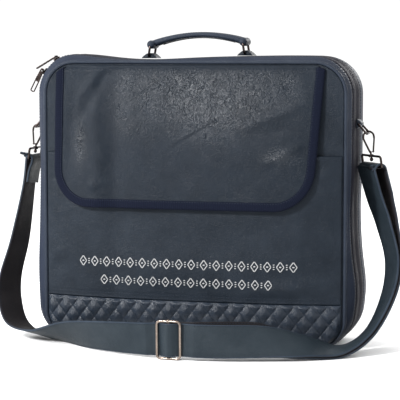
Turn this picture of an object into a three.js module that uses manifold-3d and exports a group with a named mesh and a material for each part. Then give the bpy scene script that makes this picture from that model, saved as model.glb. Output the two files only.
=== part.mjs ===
// A soft carrying bag with a front flap, a quilted foot, a top handle and a clip-on shoulder strap.
// Millimetres. +X is to the right seen from the front, +Y runs from the front to the back, +Z is up.
// The origin is the middle of the base, on the surface that the bag stands on.
import * as THREE from 'three';
import { mergeVertices } from 'three/addons/utils/BufferGeometryUtils.js';
import Module from 'manifold-3d';

// Driving sizes of the body
const body_width = 386;
const body_height = 343;
const body_depth = 95;
const front_width = 364;
const front_height = 335;
const front_side_shift = 4;
const top_corner_radius = 44;
const base_corner_radius = 40;
const front_corner_radius = 35;
const leather = 2.2;
const seam_gap = 0.35;
const piping_radius = 2.3;
const front_crown = 17;
const back_crown = 5;
const front_gusset_depth = 12.5;
const rear_gusset_depth = 20;
const corner_steps = 5;

// Driving sizes of the pieces on the front
const pocket_height = 229;
const pocket_leather = 1.8;
const quilt_height = 55;
const quilt_puff = 3.2;
const quilt_leather = 1.4;
const diamond_width = 19.5;
const diamond_height = 23.5;
const flap_width = 324;
const flap_drop = 170;
const flap_leather = 2.4;
const flap_corner_radius = 46;
const flap_lift = 6;
const flap_side_shift = -6.5;
const flap_lean = 13;
const flap_lean_level = 0.62;
const binding_width = 10;
const binding_thickness = 3.6;
const binding_gap = 0.6;

// Driving sizes of the handle
const handle_span = 119;
const grip_thickness = 9;
const grip_rise = 29;
const handle_ring_width = 28;
const handle_ring_height = 17;
const handle_wire = 2.6;
const handle_tab_length = 19;
const handle_tab_height = 5;

// Driving sizes of the side hardware
const tab_height = 11;
const tab_width = 20;
const tab_reach = 5;
const tab_level = 265;
const side_wire = 2.4;
const side_ring_length = 18;
const side_ring_width = 23;
const side_ring_slope = 48;
const hook_wire = 2.1;
const hook_width = 14.5;
const hook_length = 27;
const gate_wire = 1.8;
const loop_wire = 2.6;
const loop_width = 45;
const loop_height = 13;
const left_hook_rise = 3;

// Driving sizes of the strap
const strap_width = 38;
const strap_thickness = 3;
const strap_slack = 0.8;
const slider_width = 31;
const slider_height = 46;
const slider_wire = 3.2;

// Driving sizes of the zips
const zip_width = 6;
const zip_thickness = 1.6;
const slider_body = 9;
const pull_length = 30;
const pull_width = 6;
const pull_thickness = 1.8;

const wasm = await Module();
wasm.setup();
const group = new THREE.Group();
const finishes = {
  leather: { color: 0x343d48, roughness: 0.5, metalness: 0 },
  ribbon: { color: 0x2a2d46, roughness: 0.8, metalness: 0 },
  lining: { color: 0x2b2b33, roughness: 0.9, metalness: 0 },
  dark_metal: { color: 0x4a3f3d, roughness: 0.3, metalness: 1 },
  pale_metal: { color: 0xb9a79a, roughness: 0.3, metalness: 1 },
};

function addPiece(name, geometry, finish) {
  const mesh = new THREE.Mesh(geometry, new THREE.MeshStandardMaterial(finishes[finish]));
  mesh.name = name;
  group.add(mesh);
}

// Small vector helpers
const v3 = (x, y, z) => new THREE.Vector3(x, y, z);
const mix = (a, b, share) => a + (b - a) * share;
const radians = THREE.MathUtils.degToRad;
const ease = (from, to, value) => THREE.MathUtils.smoothstep(value, from, to);

// A closed body from its corners and triangles, turned so that its faces point out
function closedBody(points, triangles) {
  let volume = 0;
  for (let i = 0; i < triangles.length; i += 3) {
    const [a, b, c] = [0, 1, 2].map((k) => points[triangles[i + k]]);
    volume += a.dot(b.clone().cross(c));
  }
  const faces = volume > 0 ? triangles : triangles.slice().reverse();
  const geometry = new THREE.BufferGeometry();
  geometry.setAttribute('position', new THREE.Float32BufferAttribute(points.flatMap((p) => p.toArray()), 3));
  geometry.setIndex(faces);
  return geometry;
}

// Sections joined in order: an endless loop, or a bar with flat ends.
// Each quad is split along the diagonal whose middle lies higher, so that stacked layers keep their distance.
function loft(sections, endless = false) {
  const size = sections[0].length;
  const points = sections.flat();
  const triangles = [];
  const spans = endless ? sections.length : sections.length - 1;
  for (let i = 0; i < spans; i += 1) {
    const here = i * size;
    const next = ((i + 1) % sections.length) * size;
    for (let k = 0; k < size; k += 1) {
      const l = (k + 1) % size;
      const [a, b, c, d] = [here + k, here + l, next + l, next + k];
      if (points[a].z + points[c].z >= points[b].z + points[d].z) triangles.push(a, b, c, a, c, d);
      else triangles.push(a, b, d, b, c, d);
    }
  }
  if (!endless) {
    for (const [start, flip] of [[0, true], [(sections.length - 1) * size, false]]) {
      const middle = points.length;
      const centre = v3(0, 0, 0);
      for (let k = 0; k < size; k += 1) centre.addScaledVector(points[start + k], 1 / size);
      points.push(centre);
      for (let k = 0; k < size; k += 1) {
        const l = (k + 1) % size;
        if (flip) triangles.push(middle, start + l, start + k);
        else triangles.push(middle, start + k, start + l);
      }
    }
  }
  return closedBody(points, triangles);
}

// A wire of round section along points, in one loop or with two ends
function wire(points, radius, endless, sides = 6, planeNormal = null) {
  const count = points.length;
  const sections = points.map((point, i) => {
    const before = points[endless ? (i - 1 + count) % count : Math.max(i - 1, 0)];
    const after = points[endless ? (i + 1) % count : Math.min(i + 1, count - 1)];
    const along = after.clone().sub(before).normalize();
    const guide = planeNormal ?? v3(0, 1, 0);
    const side = along.clone().cross(guide).normalize();
    const up = side.clone().cross(along).normalize();
    const incoming = point.clone().sub(before).normalize();
    const stretch = 1 / Math.max(0.6, Math.abs(incoming.lengthSq() ? incoming.dot(along) : 1));
    return Array.from({ length: sides }, (_, k) => {
      const turn = ((k + 0.5) / sides) * Math.PI * 2;
      return point.clone()
        .addScaledVector(side, Math.cos(turn) * radius * stretch)
        .addScaledVector(up, Math.sin(turn) * radius);
    });
  });
  return loft(sections, endless);
}

// A rectangle with round corners as points on a plane, given by its middle and two directions
function roundedLoop(middle, across, up, width, height, radius, steps = 2) {
  const points = [];
  const corners = [[1, 1], [-1, 1], [-1, -1], [1, -1]];
  corners.forEach(([sx, sy], quarter) => {
    for (let k = 0; k <= steps; k += 1) {
      const turn = (quarter + k / steps) * Math.PI / 2;
      points.push(middle.clone()
        .addScaledVector(across, sx * (width / 2 - radius) + Math.cos(turn) * radius)
        .addScaledVector(up, sy * (height / 2 - radius) + Math.sin(turn) * radius));
    }
  });
  return points;
}

function toManifold(geometry) {
  const bare = mergeVertices(geometry);
  const solid = new wasm.Mesh({
    numProp: 3,
    vertProperties: Float32Array.from(bare.attributes.position.array),
    triVerts: Uint32Array.from(bare.index.array),
  });
  return new wasm.Manifold(solid);
}

function fromManifold(manifold) {
  const mesh = manifold.getMesh();
  const geometry = new THREE.BufferGeometry();
  const flat = [];
  for (let i = 0; i < mesh.vertProperties.length; i += mesh.numProp) {
    flat.push(mesh.vertProperties[i], mesh.vertProperties[i + 1], mesh.vertProperties[i + 2]);
  }
  geometry.setAttribute('position', new THREE.Float32BufferAttribute(flat, 3));
  geometry.setIndex(Array.from(mesh.triVerts));
  return geometry;
}

// The bag's outline seen from the front: a rounded rectangle with its base on the ground.
// Stations run round it from the right of the base; each gives a place and an outward direction.
const straight_steps = { side: 4, top: 5, base: 3 };

function outline({ width, height, shift, base, top_radius, base_radius }) {
  const half = width / 2;
  const stations = [];
  const arc = (cx, cz, radius, from) => {
    for (let k = 0; k <= corner_steps; k += 1) {
      const turn = radians(from + (90 * k) / corner_steps);
      stations.push({
        x: cx + shift + Math.cos(turn) * radius,
        z: cz + Math.sin(turn) * radius,
        nx: Math.cos(turn),
        nz: Math.sin(turn),
      });
    }
  };
  const run = (x0, z0, x1, z1, nx, nz, steps) => {
    for (let k = 1; k < steps; k += 1) {
      stations.push({ x: mix(x0, x1, k / steps) + shift, z: mix(z0, z1, k / steps), nx, nz });
    }
  };
  const side = half - base_radius;
  const topSide = half - top_radius;
  const low = base + base_radius;
  run(-side, base, side, base, 0, -1, straight_steps.base);
  arc(side, low, base_radius, -90);
  run(half, low, half, height - top_radius, 1, 0, straight_steps.side);
  arc(topSide, height - top_radius, top_radius, 0);
  run(topSide, height, -topSide, height, 0, 1, straight_steps.top);
  arc(-topSide, height - top_radius, top_radius, 90);
  run(-half, height - top_radius, -half, low, -1, 0, straight_steps.side);
  arc(-side, low, base_radius, 180);
  return stations;
}

// Sags and bulges of the body: rise is a share of the height, spread a share of the width or height
const top_waves = [
  { place: -0.40, spread: 0.10, rise: 0.010 },
  { place: -0.16, spread: 0.16, rise: -0.010 },
  { place: 0.30, spread: 0.18, rise: 0.004 },
];
const side_waves = [
  { side: 1, level: 0.19, spread: 0.11, reach: 0.016 },
  { side: 1, level: 0.47, spread: 0.10, reach: -0.004 },
  { side: -1, level: 0.24, spread: 0.14, reach: 0.006 },
  { side: -1, level: 0.62, spread: 0.12, reach: -0.003 },
];
const bump = (distance, spread) => Math.exp(-((distance / spread) ** 2));
const waveLift = (x) => top_waves.reduce(
  (sum, wave) => sum + bump(x / body_width - wave.place, wave.spread) * wave.rise * body_height, 0);

// The front panel stands on its piping, and its corners are tighter than the body's
const front_base = piping_radius * 2 + seam_gap;
const front_base_radius = base_corner_radius - (body_width - front_width) / 2;

const body_outline = outline({
  width: body_width,
  height: body_height,
  shift: 0,
  base: 0,
  top_radius: top_corner_radius,
  base_radius: base_corner_radius,
});
const front_outline = outline({
  width: front_width,
  height: front_height,
  shift: front_side_shift,
  base: front_base,
  top_radius: front_corner_radius,
  base_radius: front_base_radius,
});

// A point on the body: flare runs from the front seam's outline, 0, to the widest outline, 1
function bodyPoint(station, flare, inset, y) {
  const inner = front_outline[station];
  const outer = body_outline[station];
  let x = mix(inner.x, outer.x, flare);
  let z = mix(inner.z, outer.z, flare);
  z += Math.max(0, outer.nz) * waveLift(x) * Math.min(1, Math.max(0, flare));
  for (const wave of side_waves) {
    const near = bump(z / body_height - wave.level, wave.spread);
    x += Math.max(0, outer.nx * wave.side) * wave.side * near * wave.reach * body_width * flare;
  }
  return v3(x - outer.nx * inset, y, z - outer.nz * inset);
}

const front_y = -body_depth / 2;
const back_y = body_depth / 2;

// A band round the body from rows of depth and flare, with a wall of even thickness
function bodyBand(rows, wall) {
  const sections = body_outline.map(({ nz }, station) => {
    // Ribs, and what stands out of the outline, are pressed flat where the bag stands on them
    const pressed = ({ inset = 0, rib = false }) => (inset < 0 || rib ? inset * (1 + Math.min(0, nz)) : inset);
    const outer = rows.map((row) => bodyPoint(station, row.flare, pressed(row), row.y));
    const inner = rows.map((row) => bodyPoint(station, row.flare, pressed(row) + wall, row.y));
    return [...outer, ...inner.reverse()];
  });
  return loft(sections, true);
}

// A round piping that follows the body's outline
function bodyPiping(flare, inset, y) {
  const sections = body_outline.map((station, index) => Array.from({ length: 6 }, (_, k) => {
    const turn = ((k + 0.5) / 6) * Math.PI * 2;
    const out = Math.cos(turn) * piping_radius;
    return bodyPoint(index, flare, inset - out, y + Math.sin(turn) * piping_radius);
  }));
  return loft(sections, true);
}

// Depths of the body's bands, from the front seam to the back
const piping_y = front_y + piping_radius * 0.4;
const band_start = piping_y + piping_radius + seam_gap;
const band_end = band_start + front_gusset_depth;
const zip_a_start = band_end + seam_gap;
const zip_a_end = zip_a_start + zip_width;
const middle_start = zip_a_end + seam_gap;
const rear_end = back_y - piping_radius * 2;
const rear_start = rear_end - rear_gusset_depth;
const middle_end = rear_start - seam_gap;
const middle_depth = middle_end - middle_start;
const zip_sunk = 1.6;
const rib_depth = 1.8;

const front_gusset_rows = [
  { y: band_start, flare: 0.22 },
  { y: mix(band_start, band_end, 0.3), flare: 0.62 },
  { y: mix(band_start, band_end, 0.65), flare: 0.92 },
  { y: band_end, flare: 1 },
];
const middle_gusset_rows = [
  { y: middle_start, flare: 1 },
  { y: middle_start + middle_depth * 0.25, flare: 1.0, inset: -rib_depth * 0.4 },
  { y: middle_start + middle_depth * 0.5, flare: 1, inset: rib_depth, rib: true },
  { y: middle_start + middle_depth * 0.75, flare: 1.0, inset: -rib_depth * 0.4 },
  { y: middle_end, flare: 1 },
];
const rear_gusset_rows = [
  { y: rear_start, flare: 1 },
  { y: mix(rear_start, rear_end, 0.6), flare: 1 },
  { y: rear_end, flare: 0.94 },
];
const zipRows = (start, end) => [
  { y: start, flare: 1, inset: zip_sunk },
  { y: (start + end) / 2, flare: 1, inset: zip_sunk - 0.6 },
  { y: end, flare: 1, inset: zip_sunk },
];

// The front panel's height field: how far it stands forward of the seam's plane
const dents = [
  { x: -0.245, z: 0.44, wide: 0.035, tall: 0.22, depth: -2.6 },
  { x: -0.33, z: 0.50, wide: 0.05, tall: 0.16, depth: 2.2 },
  { x: 0.10, z: 0.52, wide: 0.09, tall: 0.05, depth: -1.0 },
  { x: 0.0, z: 0.28, wide: 0.30, tall: 0.09, depth: 2.4 },
  { x: 0.42, z: 0.30, wide: 0.05, tall: 0.12, depth: -1.8 },
  { x: -0.42, z: 0.22, wide: 0.05, tall: 0.06, depth: -2.2 },
];

// depth of a dent is in millimetres for this crown, so it follows the crown
const design_crown = 17;

function frontStand(x, z) {
  const u = (x - front_side_shift) / (front_width / 2);
  const w = z / front_height;
  const sides = Math.max(0, 1 - Math.abs(u) ** 3.2);
  const lower = Math.sin(Math.min(1, w / 0.13) * Math.PI / 2);
  const upper = Math.min(1, Math.max(0, (1 - w) / 0.62));
  let stand = front_crown * sides * lower * Math.sin(upper * Math.PI / 2) ** 0.9;
  for (const dent of dents) {
    const near = bump((x - front_side_shift) / front_width - dent.x, dent.wide) * bump(w - dent.z, dent.tall);
    stand += near * dent.depth * (front_crown / design_crown) * sides * lower;
  }
  return Math.max(0, stand);
}

// A panel between two height fields over a shape made of nested outlines
function nestedPanel(rimPoints, rings, frontAt, backAt) {
  const count = rimPoints.length;
  const middle = rimPoints.reduce((sum, p) => sum.add(v3(p.x, 0, p.z)), v3(0, 0, 0)).divideScalar(count);
  const points = [];
  const triangles = [];
  const layer = (depthAt) => {
    const start = points.length;
    for (let ring = 0; ring < rings.length; ring += 1) {
      for (const rim of rimPoints) {
        const x = mix(rim.x, middle.x, rings[ring]);
        const z = mix(rim.z, middle.z, rings[ring]);
        points.push(v3(x, depthAt(x, z), z));
      }
    }
    points.push(v3(middle.x, depthAt(middle.x, middle.z), middle.z));
    return start;
  };
  const front = layer(frontAt);
  const back = layer(backAt);
  for (const [start, flip] of [[front, false], [back, true]]) {
    const put = (a, b, c) => triangles.push(...(flip ? [a, c, b] : [a, b, c]));
    for (let ring = 0; ring + 1 < rings.length; ring += 1) {
      for (let k = 0; k < count; k += 1) {
        const l = (k + 1) % count;
        const a = start + ring * count;
        const b = a + count;
        put(a + k, a + l, b + l);
        put(a + k, b + l, b + k);
      }
    }
    const last = start + (rings.length - 1) * count;
    const tip = start + rings.length * count;
    for (let k = 0; k < count; k += 1) put(last + k, last + ((k + 1) % count), tip);
  }
  for (let k = 0; k < count; k += 1) {
    const l = (k + 1) % count;
    triangles.push(front + l, front + k, back + k, front + l, back + k, back + l);
  }
  return closedBody(points, triangles);
}

// A panel between two height fields over a grid of columns and rows
function gridPanel(columns, rows, placeAt, frontAt, backAt) {
  const points = [];
  const triangles = [];
  const wide = columns + 1;
  const size = wide * (rows + 1);
  for (const depthAt of [frontAt, backAt]) {
    for (let j = 0; j <= rows; j += 1) {
      for (let i = 0; i <= columns; i += 1) {
        const { x, z } = placeAt(i / columns, j / rows, i, j);
        points.push(v3(x, depthAt(x, z, i, j), z));
      }
    }
  }
  const at = (i, j) => j * wide + i;
  const put = (a, b, c, d, even) => {
    if (even) triangles.push(a, b, c, a, c, d);
    else triangles.push(a, b, d, b, c, d);
  };
  for (let j = 0; j < rows; j += 1) {
    for (let i = 0; i < columns; i += 1) {
      const even = (i + j) % 2 === 1;
      put(at(i, j), at(i + 1, j), at(i + 1, j + 1), at(i, j + 1), even);
      put(size + at(i, j + 1), size + at(i + 1, j + 1), size + at(i + 1, j), size + at(i, j), !even);
    }
  }
  const border = [];
  for (let i = 0; i < columns; i += 1) border.push(at(i, 0));
  for (let j = 0; j < rows; j += 1) border.push(at(columns, j));
  for (let i = columns; i > 0; i -= 1) border.push(at(i, rows));
  for (let j = rows; j > 0; j -= 1) border.push(at(0, j));
  border.forEach((here, k) => {
    const next = border[(k + 1) % border.length];
    triangles.push(next, here, size + here, next, size + here, size + next);
  });
  return closedBody(points, triangles);
}

const panel_rings = [0, 0.12, 0.3, 0.55, 0.8];
// The wall behind the pocket bulges less than what lies over it
const wall_share = 0.7;
const frontRim = (inset) => front_outline.map((s) => ({ x: s.x - s.nx * inset, z: s.z - s.nz * inset }));
const panelFront = (layer) => (x, z) => front_y - frontStand(x, z) - layer;

function makeBody() {
  const rim = frontRim(seam_gap);
  const wallFront = (x, z) => front_y - frontStand(x, z) * wall_share;
  const wallBack = (x, z) => wallFront(x, z) + leather;
  addPiece('front_panel', nestedPanel(rim, panel_rings, wallFront, wallBack), 'leather');
  addPiece('front_piping', bodyPiping(0, -piping_radius, piping_y), 'leather');
  addPiece('front_gusset', bodyBand(front_gusset_rows, leather), 'leather');
  addPiece('zip_tape', bodyBand(zipRows(zip_a_start, zip_a_end), zip_thickness), 'lining');
  addPiece('middle_gusset', bodyBand(middle_gusset_rows, leather), 'leather');
  addPiece('rear_gusset', bodyBand(rear_gusset_rows, leather), 'leather');
  const rear_piping_y = rear_end + seam_gap + piping_radius;
  addPiece('rear_piping', bodyPiping(0.94, piping_radius, rear_piping_y), 'leather');
  const backRim = body_outline.map((_, station) => {
    const point = bodyPoint(station, 0.94, piping_radius * 2 + seam_gap, 0);
    return { x: point.x, z: point.z };
  });
  const backBow = (x, z) => {
    const u = Math.min(1, Math.abs(x) / (body_width / 2 - piping_radius));
    const w = Math.min(1, Math.abs(z / body_height - 0.5) * 2);
    return back_crown * (1 - u ** 3) * (1 - w ** 3);
  };
  const inside = (x, z) => rear_piping_y - leather / 2 + backBow(x, z);
  const back = nestedPanel(backRim, panel_rings.slice(0, 4), inside, (x, z) => inside(x, z) + leather);
  addPiece('back_panel', back, 'leather');
}

// The half-width of the front outline at a height
function frontHalf(z, inset) {
  const half = front_width / 2 - inset;
  const low = front_base_radius - inset;
  const high = front_corner_radius - inset;
  const below = front_base + inset + low - z;
  const above = z - (front_height - inset - high);
  if (below > 0) return half - low + Math.sqrt(Math.max(0, low ** 2 - below ** 2));
  if (above > 0) return half - high + Math.sqrt(Math.max(0, high ** 2 - above ** 2));
  return half;
}

const overlay_margin = 1.3;
const pocket_layer = seam_gap;
const pocket_front = pocket_layer + pocket_leather;

function makePocket() {
  const columns = 14;
  const rows = 7;
  const low = quilt_height + seam_gap;
  const place = (u, v) => {
    const z = mix(low, pocket_height, v);
    return { x: front_side_shift + mix(-1, 1, u) * frontHalf(z, overlay_margin), z };
  };
  const panel = gridPanel(columns, rows, place, panelFront(pocket_front), panelFront(pocket_layer));
  addPiece('front_pocket', panel, 'leather');
}

// The padded foot: a grid whose even corners stand out as the tops of diamonds
function makeQuilt() {
  const columns = Math.round((front_width - overlay_margin * 2) / diamond_width) * 2;
  const low = front_base + overlay_margin;
  const rows = Math.round((quilt_height - low) / (diamond_height / 2));
  const place = (u, v) => {
    const z = mix(low, quilt_height, v);
    return { x: front_side_shift + mix(-1, 1, u) * frontHalf(z, overlay_margin), z };
  };
  const puffed = (x, z, i, j) => {
    const rim = i === 0 || i === columns || j === 0 || j === rows;
    const puff = (i + j) % 2 === 0 && !rim ? quilt_puff : 0;
    return panelFront(pocket_layer + quilt_leather + puff)(x, z);
  };
  addPiece('quilted_band', gridPanel(columns, rows, place, puffed, panelFront(pocket_layer)), 'leather');
}

// The flap hangs from the front's top seam. Its outer edge is a U with round lower corners.
const flap_middle = front_side_shift + flap_side_shift;
const flap_base = front_height - flap_drop;

function flapHalf(z, inset) {
  const radius = flap_corner_radius - inset;
  const below = flap_base + inset + radius - z;
  const half = flap_width / 2 - inset;
  return below > 0 ? half - radius + Math.sqrt(Math.max(0, radius ** 2 - below ** 2)) : half;
}

// The flap's right side leans: wider at the top, narrower below
const flapLean = (x, z) => flap_lean * Math.min(1, Math.max(0, (x - flap_middle) / (flap_width / 2)))
  * ((z - flap_base) / flap_drop - flap_lean_level);

const flapEdge = (side, z, inset) => {
  const straight = flap_middle + side * flapHalf(z, inset);
  const own = straight + flapLean(straight, z);
  const seam = front_side_shift + side * frontHalf(z, overlay_margin);
  return side > 0 ? Math.min(own, seam) : Math.max(own, seam);
};

// How far the flap's back lies off the front panel: more towards its free edge
function flapGap(z) {
  const down = Math.min(1, Math.max(0, (front_height - z) / flap_drop));
  return seam_gap + (pocket_leather + seam_gap) * ease(0.05, 0.35, down) + flap_lift * down ** 2;
}

const flapBack = (x, z) => front_y - frontStand(x, z) - flapGap(z);

function makeFlap() {
  const inset = binding_width + binding_gap;
  const top = front_height - overlay_margin;
  const radius = flap_corner_radius - inset;
  const low = flap_base + inset;
  const levels = [];
  const arc_rows = 4;
  for (let k = 0; k < arc_rows; k += 1) levels.push(low + radius * (1 - Math.cos((k / arc_rows) * Math.PI / 2)));
  const upper = front_height - front_corner_radius * 0.7;
  const straight_rows = 6;
  for (let k = 0; k <= straight_rows; k += 1) levels.push(mix(low + radius, upper, k / straight_rows));
  levels.push(mix(upper, top, 0.5), mix(upper, top, 0.85), top);
  const columns = 18;
  const place = (u, v, i, j) => {
    const z = levels[j];
    return { x: mix(flapEdge(-1, z, inset), flapEdge(1, z, inset), u), z };
  };
  const front = (x, z) => flapBack(x, z) - flap_leather;
  addPiece('flap', gridPanel(columns, levels.length - 1, place, front, flapBack), 'leather');
}

// The binding runs down one side of the flap, along its free edge and up the other
function makeBinding() {
  const stations = [];
  const high = front_height - front_corner_radius * 0.25;
  const low = flap_base + flap_corner_radius;
  const side_steps = 7;
  const arc_steps = 6;
  const base_steps = 8;
  const half = flap_width / 2;
  const corner = half - flap_corner_radius;
  for (let k = 0; k < side_steps; k += 1) {
    stations.push({ x: -half, z: mix(high, low, k / side_steps), nx: -1, nz: 0 });
  }
  const arc = (side, from) => {
    for (let k = 0; k <= arc_steps; k += 1) {
      const turn = radians(from + (90 * k) / arc_steps);
      const [nx, nz] = [Math.cos(turn), Math.sin(turn)];
      stations.push({ x: side * corner + nx * flap_corner_radius, z: low + nz * flap_corner_radius, nx, nz });
    }
  };
  arc(-1, 180);
  for (let k = 1; k < base_steps; k += 1) {
    stations.push({ x: mix(-corner, corner, k / base_steps), z: flap_base, nx: 0, nz: -1 });
  }
  arc(1, 270);
  for (let k = 1; k <= side_steps; k += 1) {
    stations.push({ x: half, z: mix(low, high, k / side_steps), nx: 1, nz: 0 });
  }
  const profile = [
    { across: 0, out: 0.5 }, { across: 0.15, out: 1 }, { across: 0.85, out: 1 },
    { across: 1, out: 0.7 }, { across: 1, out: 0.2 }, { across: 0.15, out: 0 },
  ];
  const sections = stations.map((s) => profile.map(({ across, out }) => {
    const straight = flap_middle + s.x - s.nx * across * binding_width;
    const z = s.z - s.nz * across * binding_width;
    const x = straight + flapLean(straight, z);
    return v3(x, flapBack(x, z) - out * binding_thickness, z);
  }));
  addPiece('flap_binding', loft(sections), 'ribbon');
}

// Height of the body's top and place of its side at a given spot
function topLevel(x) {
  const ridge = body_outline.map((s, k) => ({ up: s.nz, at: bodyPoint(k, 1, 0, 0) })).filter((s) => s.up > 0.1);
  for (let k = 0; k + 1 < ridge.length; k += 1) {
    const [a, b] = [ridge[k].at, ridge[k + 1].at];
    if (x <= a.x && x >= b.x) return mix(a.z, b.z, (a.x - x) / (a.x - b.x));
  }
  return body_height;
}

function sidePlace(side, z) {
  return side * (body_width / 2 + side_waves.filter((wave) => wave.side === side).reduce(
    (sum, wave) => sum + bump(z / body_height - wave.level, wave.spread) * wave.reach * body_width, 0));
}

const rib_stand = rib_depth * 0.4;
const hardware_y = (middle_start + middle_end) / 2;

// A mound of leather on a surface, with a tunnel along Y for a wire
function tabBody(base, along, out, length, height, width, tunnel, tunnel_radius) {
  const profile = [[-0.5, 0], [-0.47, 0.3], [-0.3, 0.8], [0, 1], [0.3, 0.8], [0.47, 0.3], [0.5, 0]];
  const sections = [-0.5, 0.5].map((end) => profile.map(([a, o]) => base.clone()
    .addScaledVector(along, a * length)
    .addScaledVector(out, o * height)
    .add(v3(0, end * width, 0))));
  const hole = wire([-1, 1].map((end) => tunnel.clone().add(v3(0, end * width, 0))), tunnel_radius, false, 8, v3(1, 0, 0));
  return fromManifold(toManifold(loft(sections)).subtract(toManifold(hole)));
}

// The handle: two rings held by tabs on the top, and a grip whose ends wrap the rings
const ring_lean = 9;

function handleRing(side) {
  const foot_x = side * handle_span / 2;
  const tab_ends = [-0.5, 0, 0.5].map((share) => topLevel(foot_x + share * handle_tab_length));
  const foot = Math.max(...tab_ends) + rib_stand + seam_gap;
  const low = v3(foot_x, hardware_y, foot + seam_gap + handle_wire / 2 + 0.6);
  const lean = v3(-side * Math.sin(radians(ring_lean)), 0, Math.cos(radians(ring_lean)));
  const rise = handle_ring_height - handle_wire;
  return { foot, low, lean, high: low.clone().addScaledVector(lean, rise), rise };
}

function makeHandle() {
  const wire_gap = handle_wire / 2 + seam_gap;
  for (const [side, word] of [[-1, 'left'], [1, 'right']]) {
    const { foot, low, lean, rise } = handleRing(side);
    const middle = low.clone().addScaledVector(lean, rise / 2);
    const across = v3(0, 1, 0);
    const loop = roundedLoop(middle, across, lean, handle_ring_width - handle_wire, rise, 3);
    addPiece(`handle_ring_${word}`, wire(loop, handle_wire / 2, true, 6, across.clone().cross(lean)), 'dark_metal');
    const base = v3(low.x, hardware_y, foot);
    const inner_width = handle_ring_width - handle_wire * 2 - 2;
    const height = handle_tab_height + handle_wire / 2;
    const tab = tabBody(base, v3(1, 0, 0), v3(0, 0, 1), handle_tab_length, height, inner_width, low, wire_gap);
    addPiece(`handle_tab_${word}`, tab, 'leather');
  }
  const ends = [-1, 1].map((side) => handleRing(side).high);
  const grip_width = handle_ring_width - handle_wire * 2 - 3;
  const end_radius = grip_thickness / 2 + 0.6;
  const steps = 12;
  const sections = Array.from({ length: steps + 1 }, (_, k) => {
    const t = k / steps;
    const arch = Math.sin(t * Math.PI) ** 0.8;
    const centre = v3(mix(ends[0].x, ends[1].x, t), hardware_y, mix(ends[0].z, ends[1].z, t));
    centre.z += arch * (grip_rise - handle_ring_height);
    const thick = grip_thickness * mix(0.95, 0.76, arch) / 2;
    const wide = grip_width * mix(0.9, 1, arch) / 2;
    const slope = Math.cos(t * Math.PI) * 0.35;
    return Array.from({ length: 8 }, (__, n) => {
      const turn = ((n + 0.5) / 8) * Math.PI * 2;
      const up = Math.sin(turn) * thick;
      return v3(centre.x - up * slope, centre.y + Math.cos(turn) * wide, centre.z + up);
    });
  });
  let grip = toManifold(loft(sections));
  for (const end of ends) {
    const span = [-1, 1].map((s) => end.clone().add(v3(0, s * grip_width / 2, 0)));
    grip = grip.add(toManifold(wire(span, end_radius, false, 10, v3(1, 0, 0))));
  }
  for (const end of ends) {
    const span = [-1, 1].map((s) => end.clone().add(v3(0, s * grip_width, 0)));
    grip = grip.subtract(toManifold(wire(span, wire_gap + 0.1, false, 8, v3(1, 0, 0))));
  }
  addPiece('handle_grip', fromManifold(grip), 'leather');
}

// Side hardware: a tab on the body, a ring, a snap hook with a gate, and the loop that the strap folds over
const hook_tilt = 8;
const ring_corner = 2;
const gate_lean = 11;
const loop_swing = { left: 0, right: -40 };
const ball_radius = 2.3;
const collar_radius = 3.1;
const collar_height = 3.2;

function sideFrame(side) {
  const word = side > 0 ? 'right' : 'left';
  const level = tab_level + (side < 0 ? left_hook_rise : 0);
  const wall = sidePlace(side, level) + side * (rib_stand + seam_gap);
  const inner = v3(wall + side * (side_wire / 2 + seam_gap + 0.8), hardware_y, level);
  const slope = v3(side * Math.cos(radians(side_ring_slope)), 0, -Math.sin(radians(side_ring_slope)));
  const reach = side_ring_length - side_wire;
  const outer = inner.clone().addScaledVector(slope, reach);
  const down = v3(side * Math.sin(radians(hook_tilt)), 0, -Math.cos(radians(hook_tilt)));
  const across = v3(side * Math.cos(radians(hook_tilt)), 0, Math.sin(radians(hook_tilt)));
  const crown = outer.clone().addScaledVector(down, -(side_wire / 2 + hook_wire / 2 + seam_gap));
  const at = (along, sideways) => crown.clone().addScaledVector(down, along).addScaledVector(across, sideways);
  const collar = hook_length + collar_height / 2 + seam_gap;
  const bar = collar + loop_height;
  const swing = radians(loop_swing[word]);
  const bar_along = v3(Math.sin(swing), Math.cos(swing), 0);
  return { side, word, wall, level, inner, slope, reach, down, across, at, collar, bar_along, bar: at(bar, 0) };
}

const frames = { left: sideFrame(-1), right: sideFrame(1) };

function ballAt(centre, radius, axis) {
  const rings = [-0.92, -0.6, 0, 0.6, 0.92];
  const guide = v3(0, 1, 0);
  const side = axis.clone().cross(guide).normalize();
  return loft(rings.map((h) => Array.from({ length: 10 }, (_, k) => {
    const turn = (k / 10) * Math.PI * 2;
    const r = Math.sqrt(1 - h * h) * radius;
    return centre.clone()
      .addScaledVector(axis, h * radius)
      .addScaledVector(side, Math.cos(turn) * r)
      .addScaledVector(guide, Math.sin(turn) * r);
  })));
}

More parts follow.
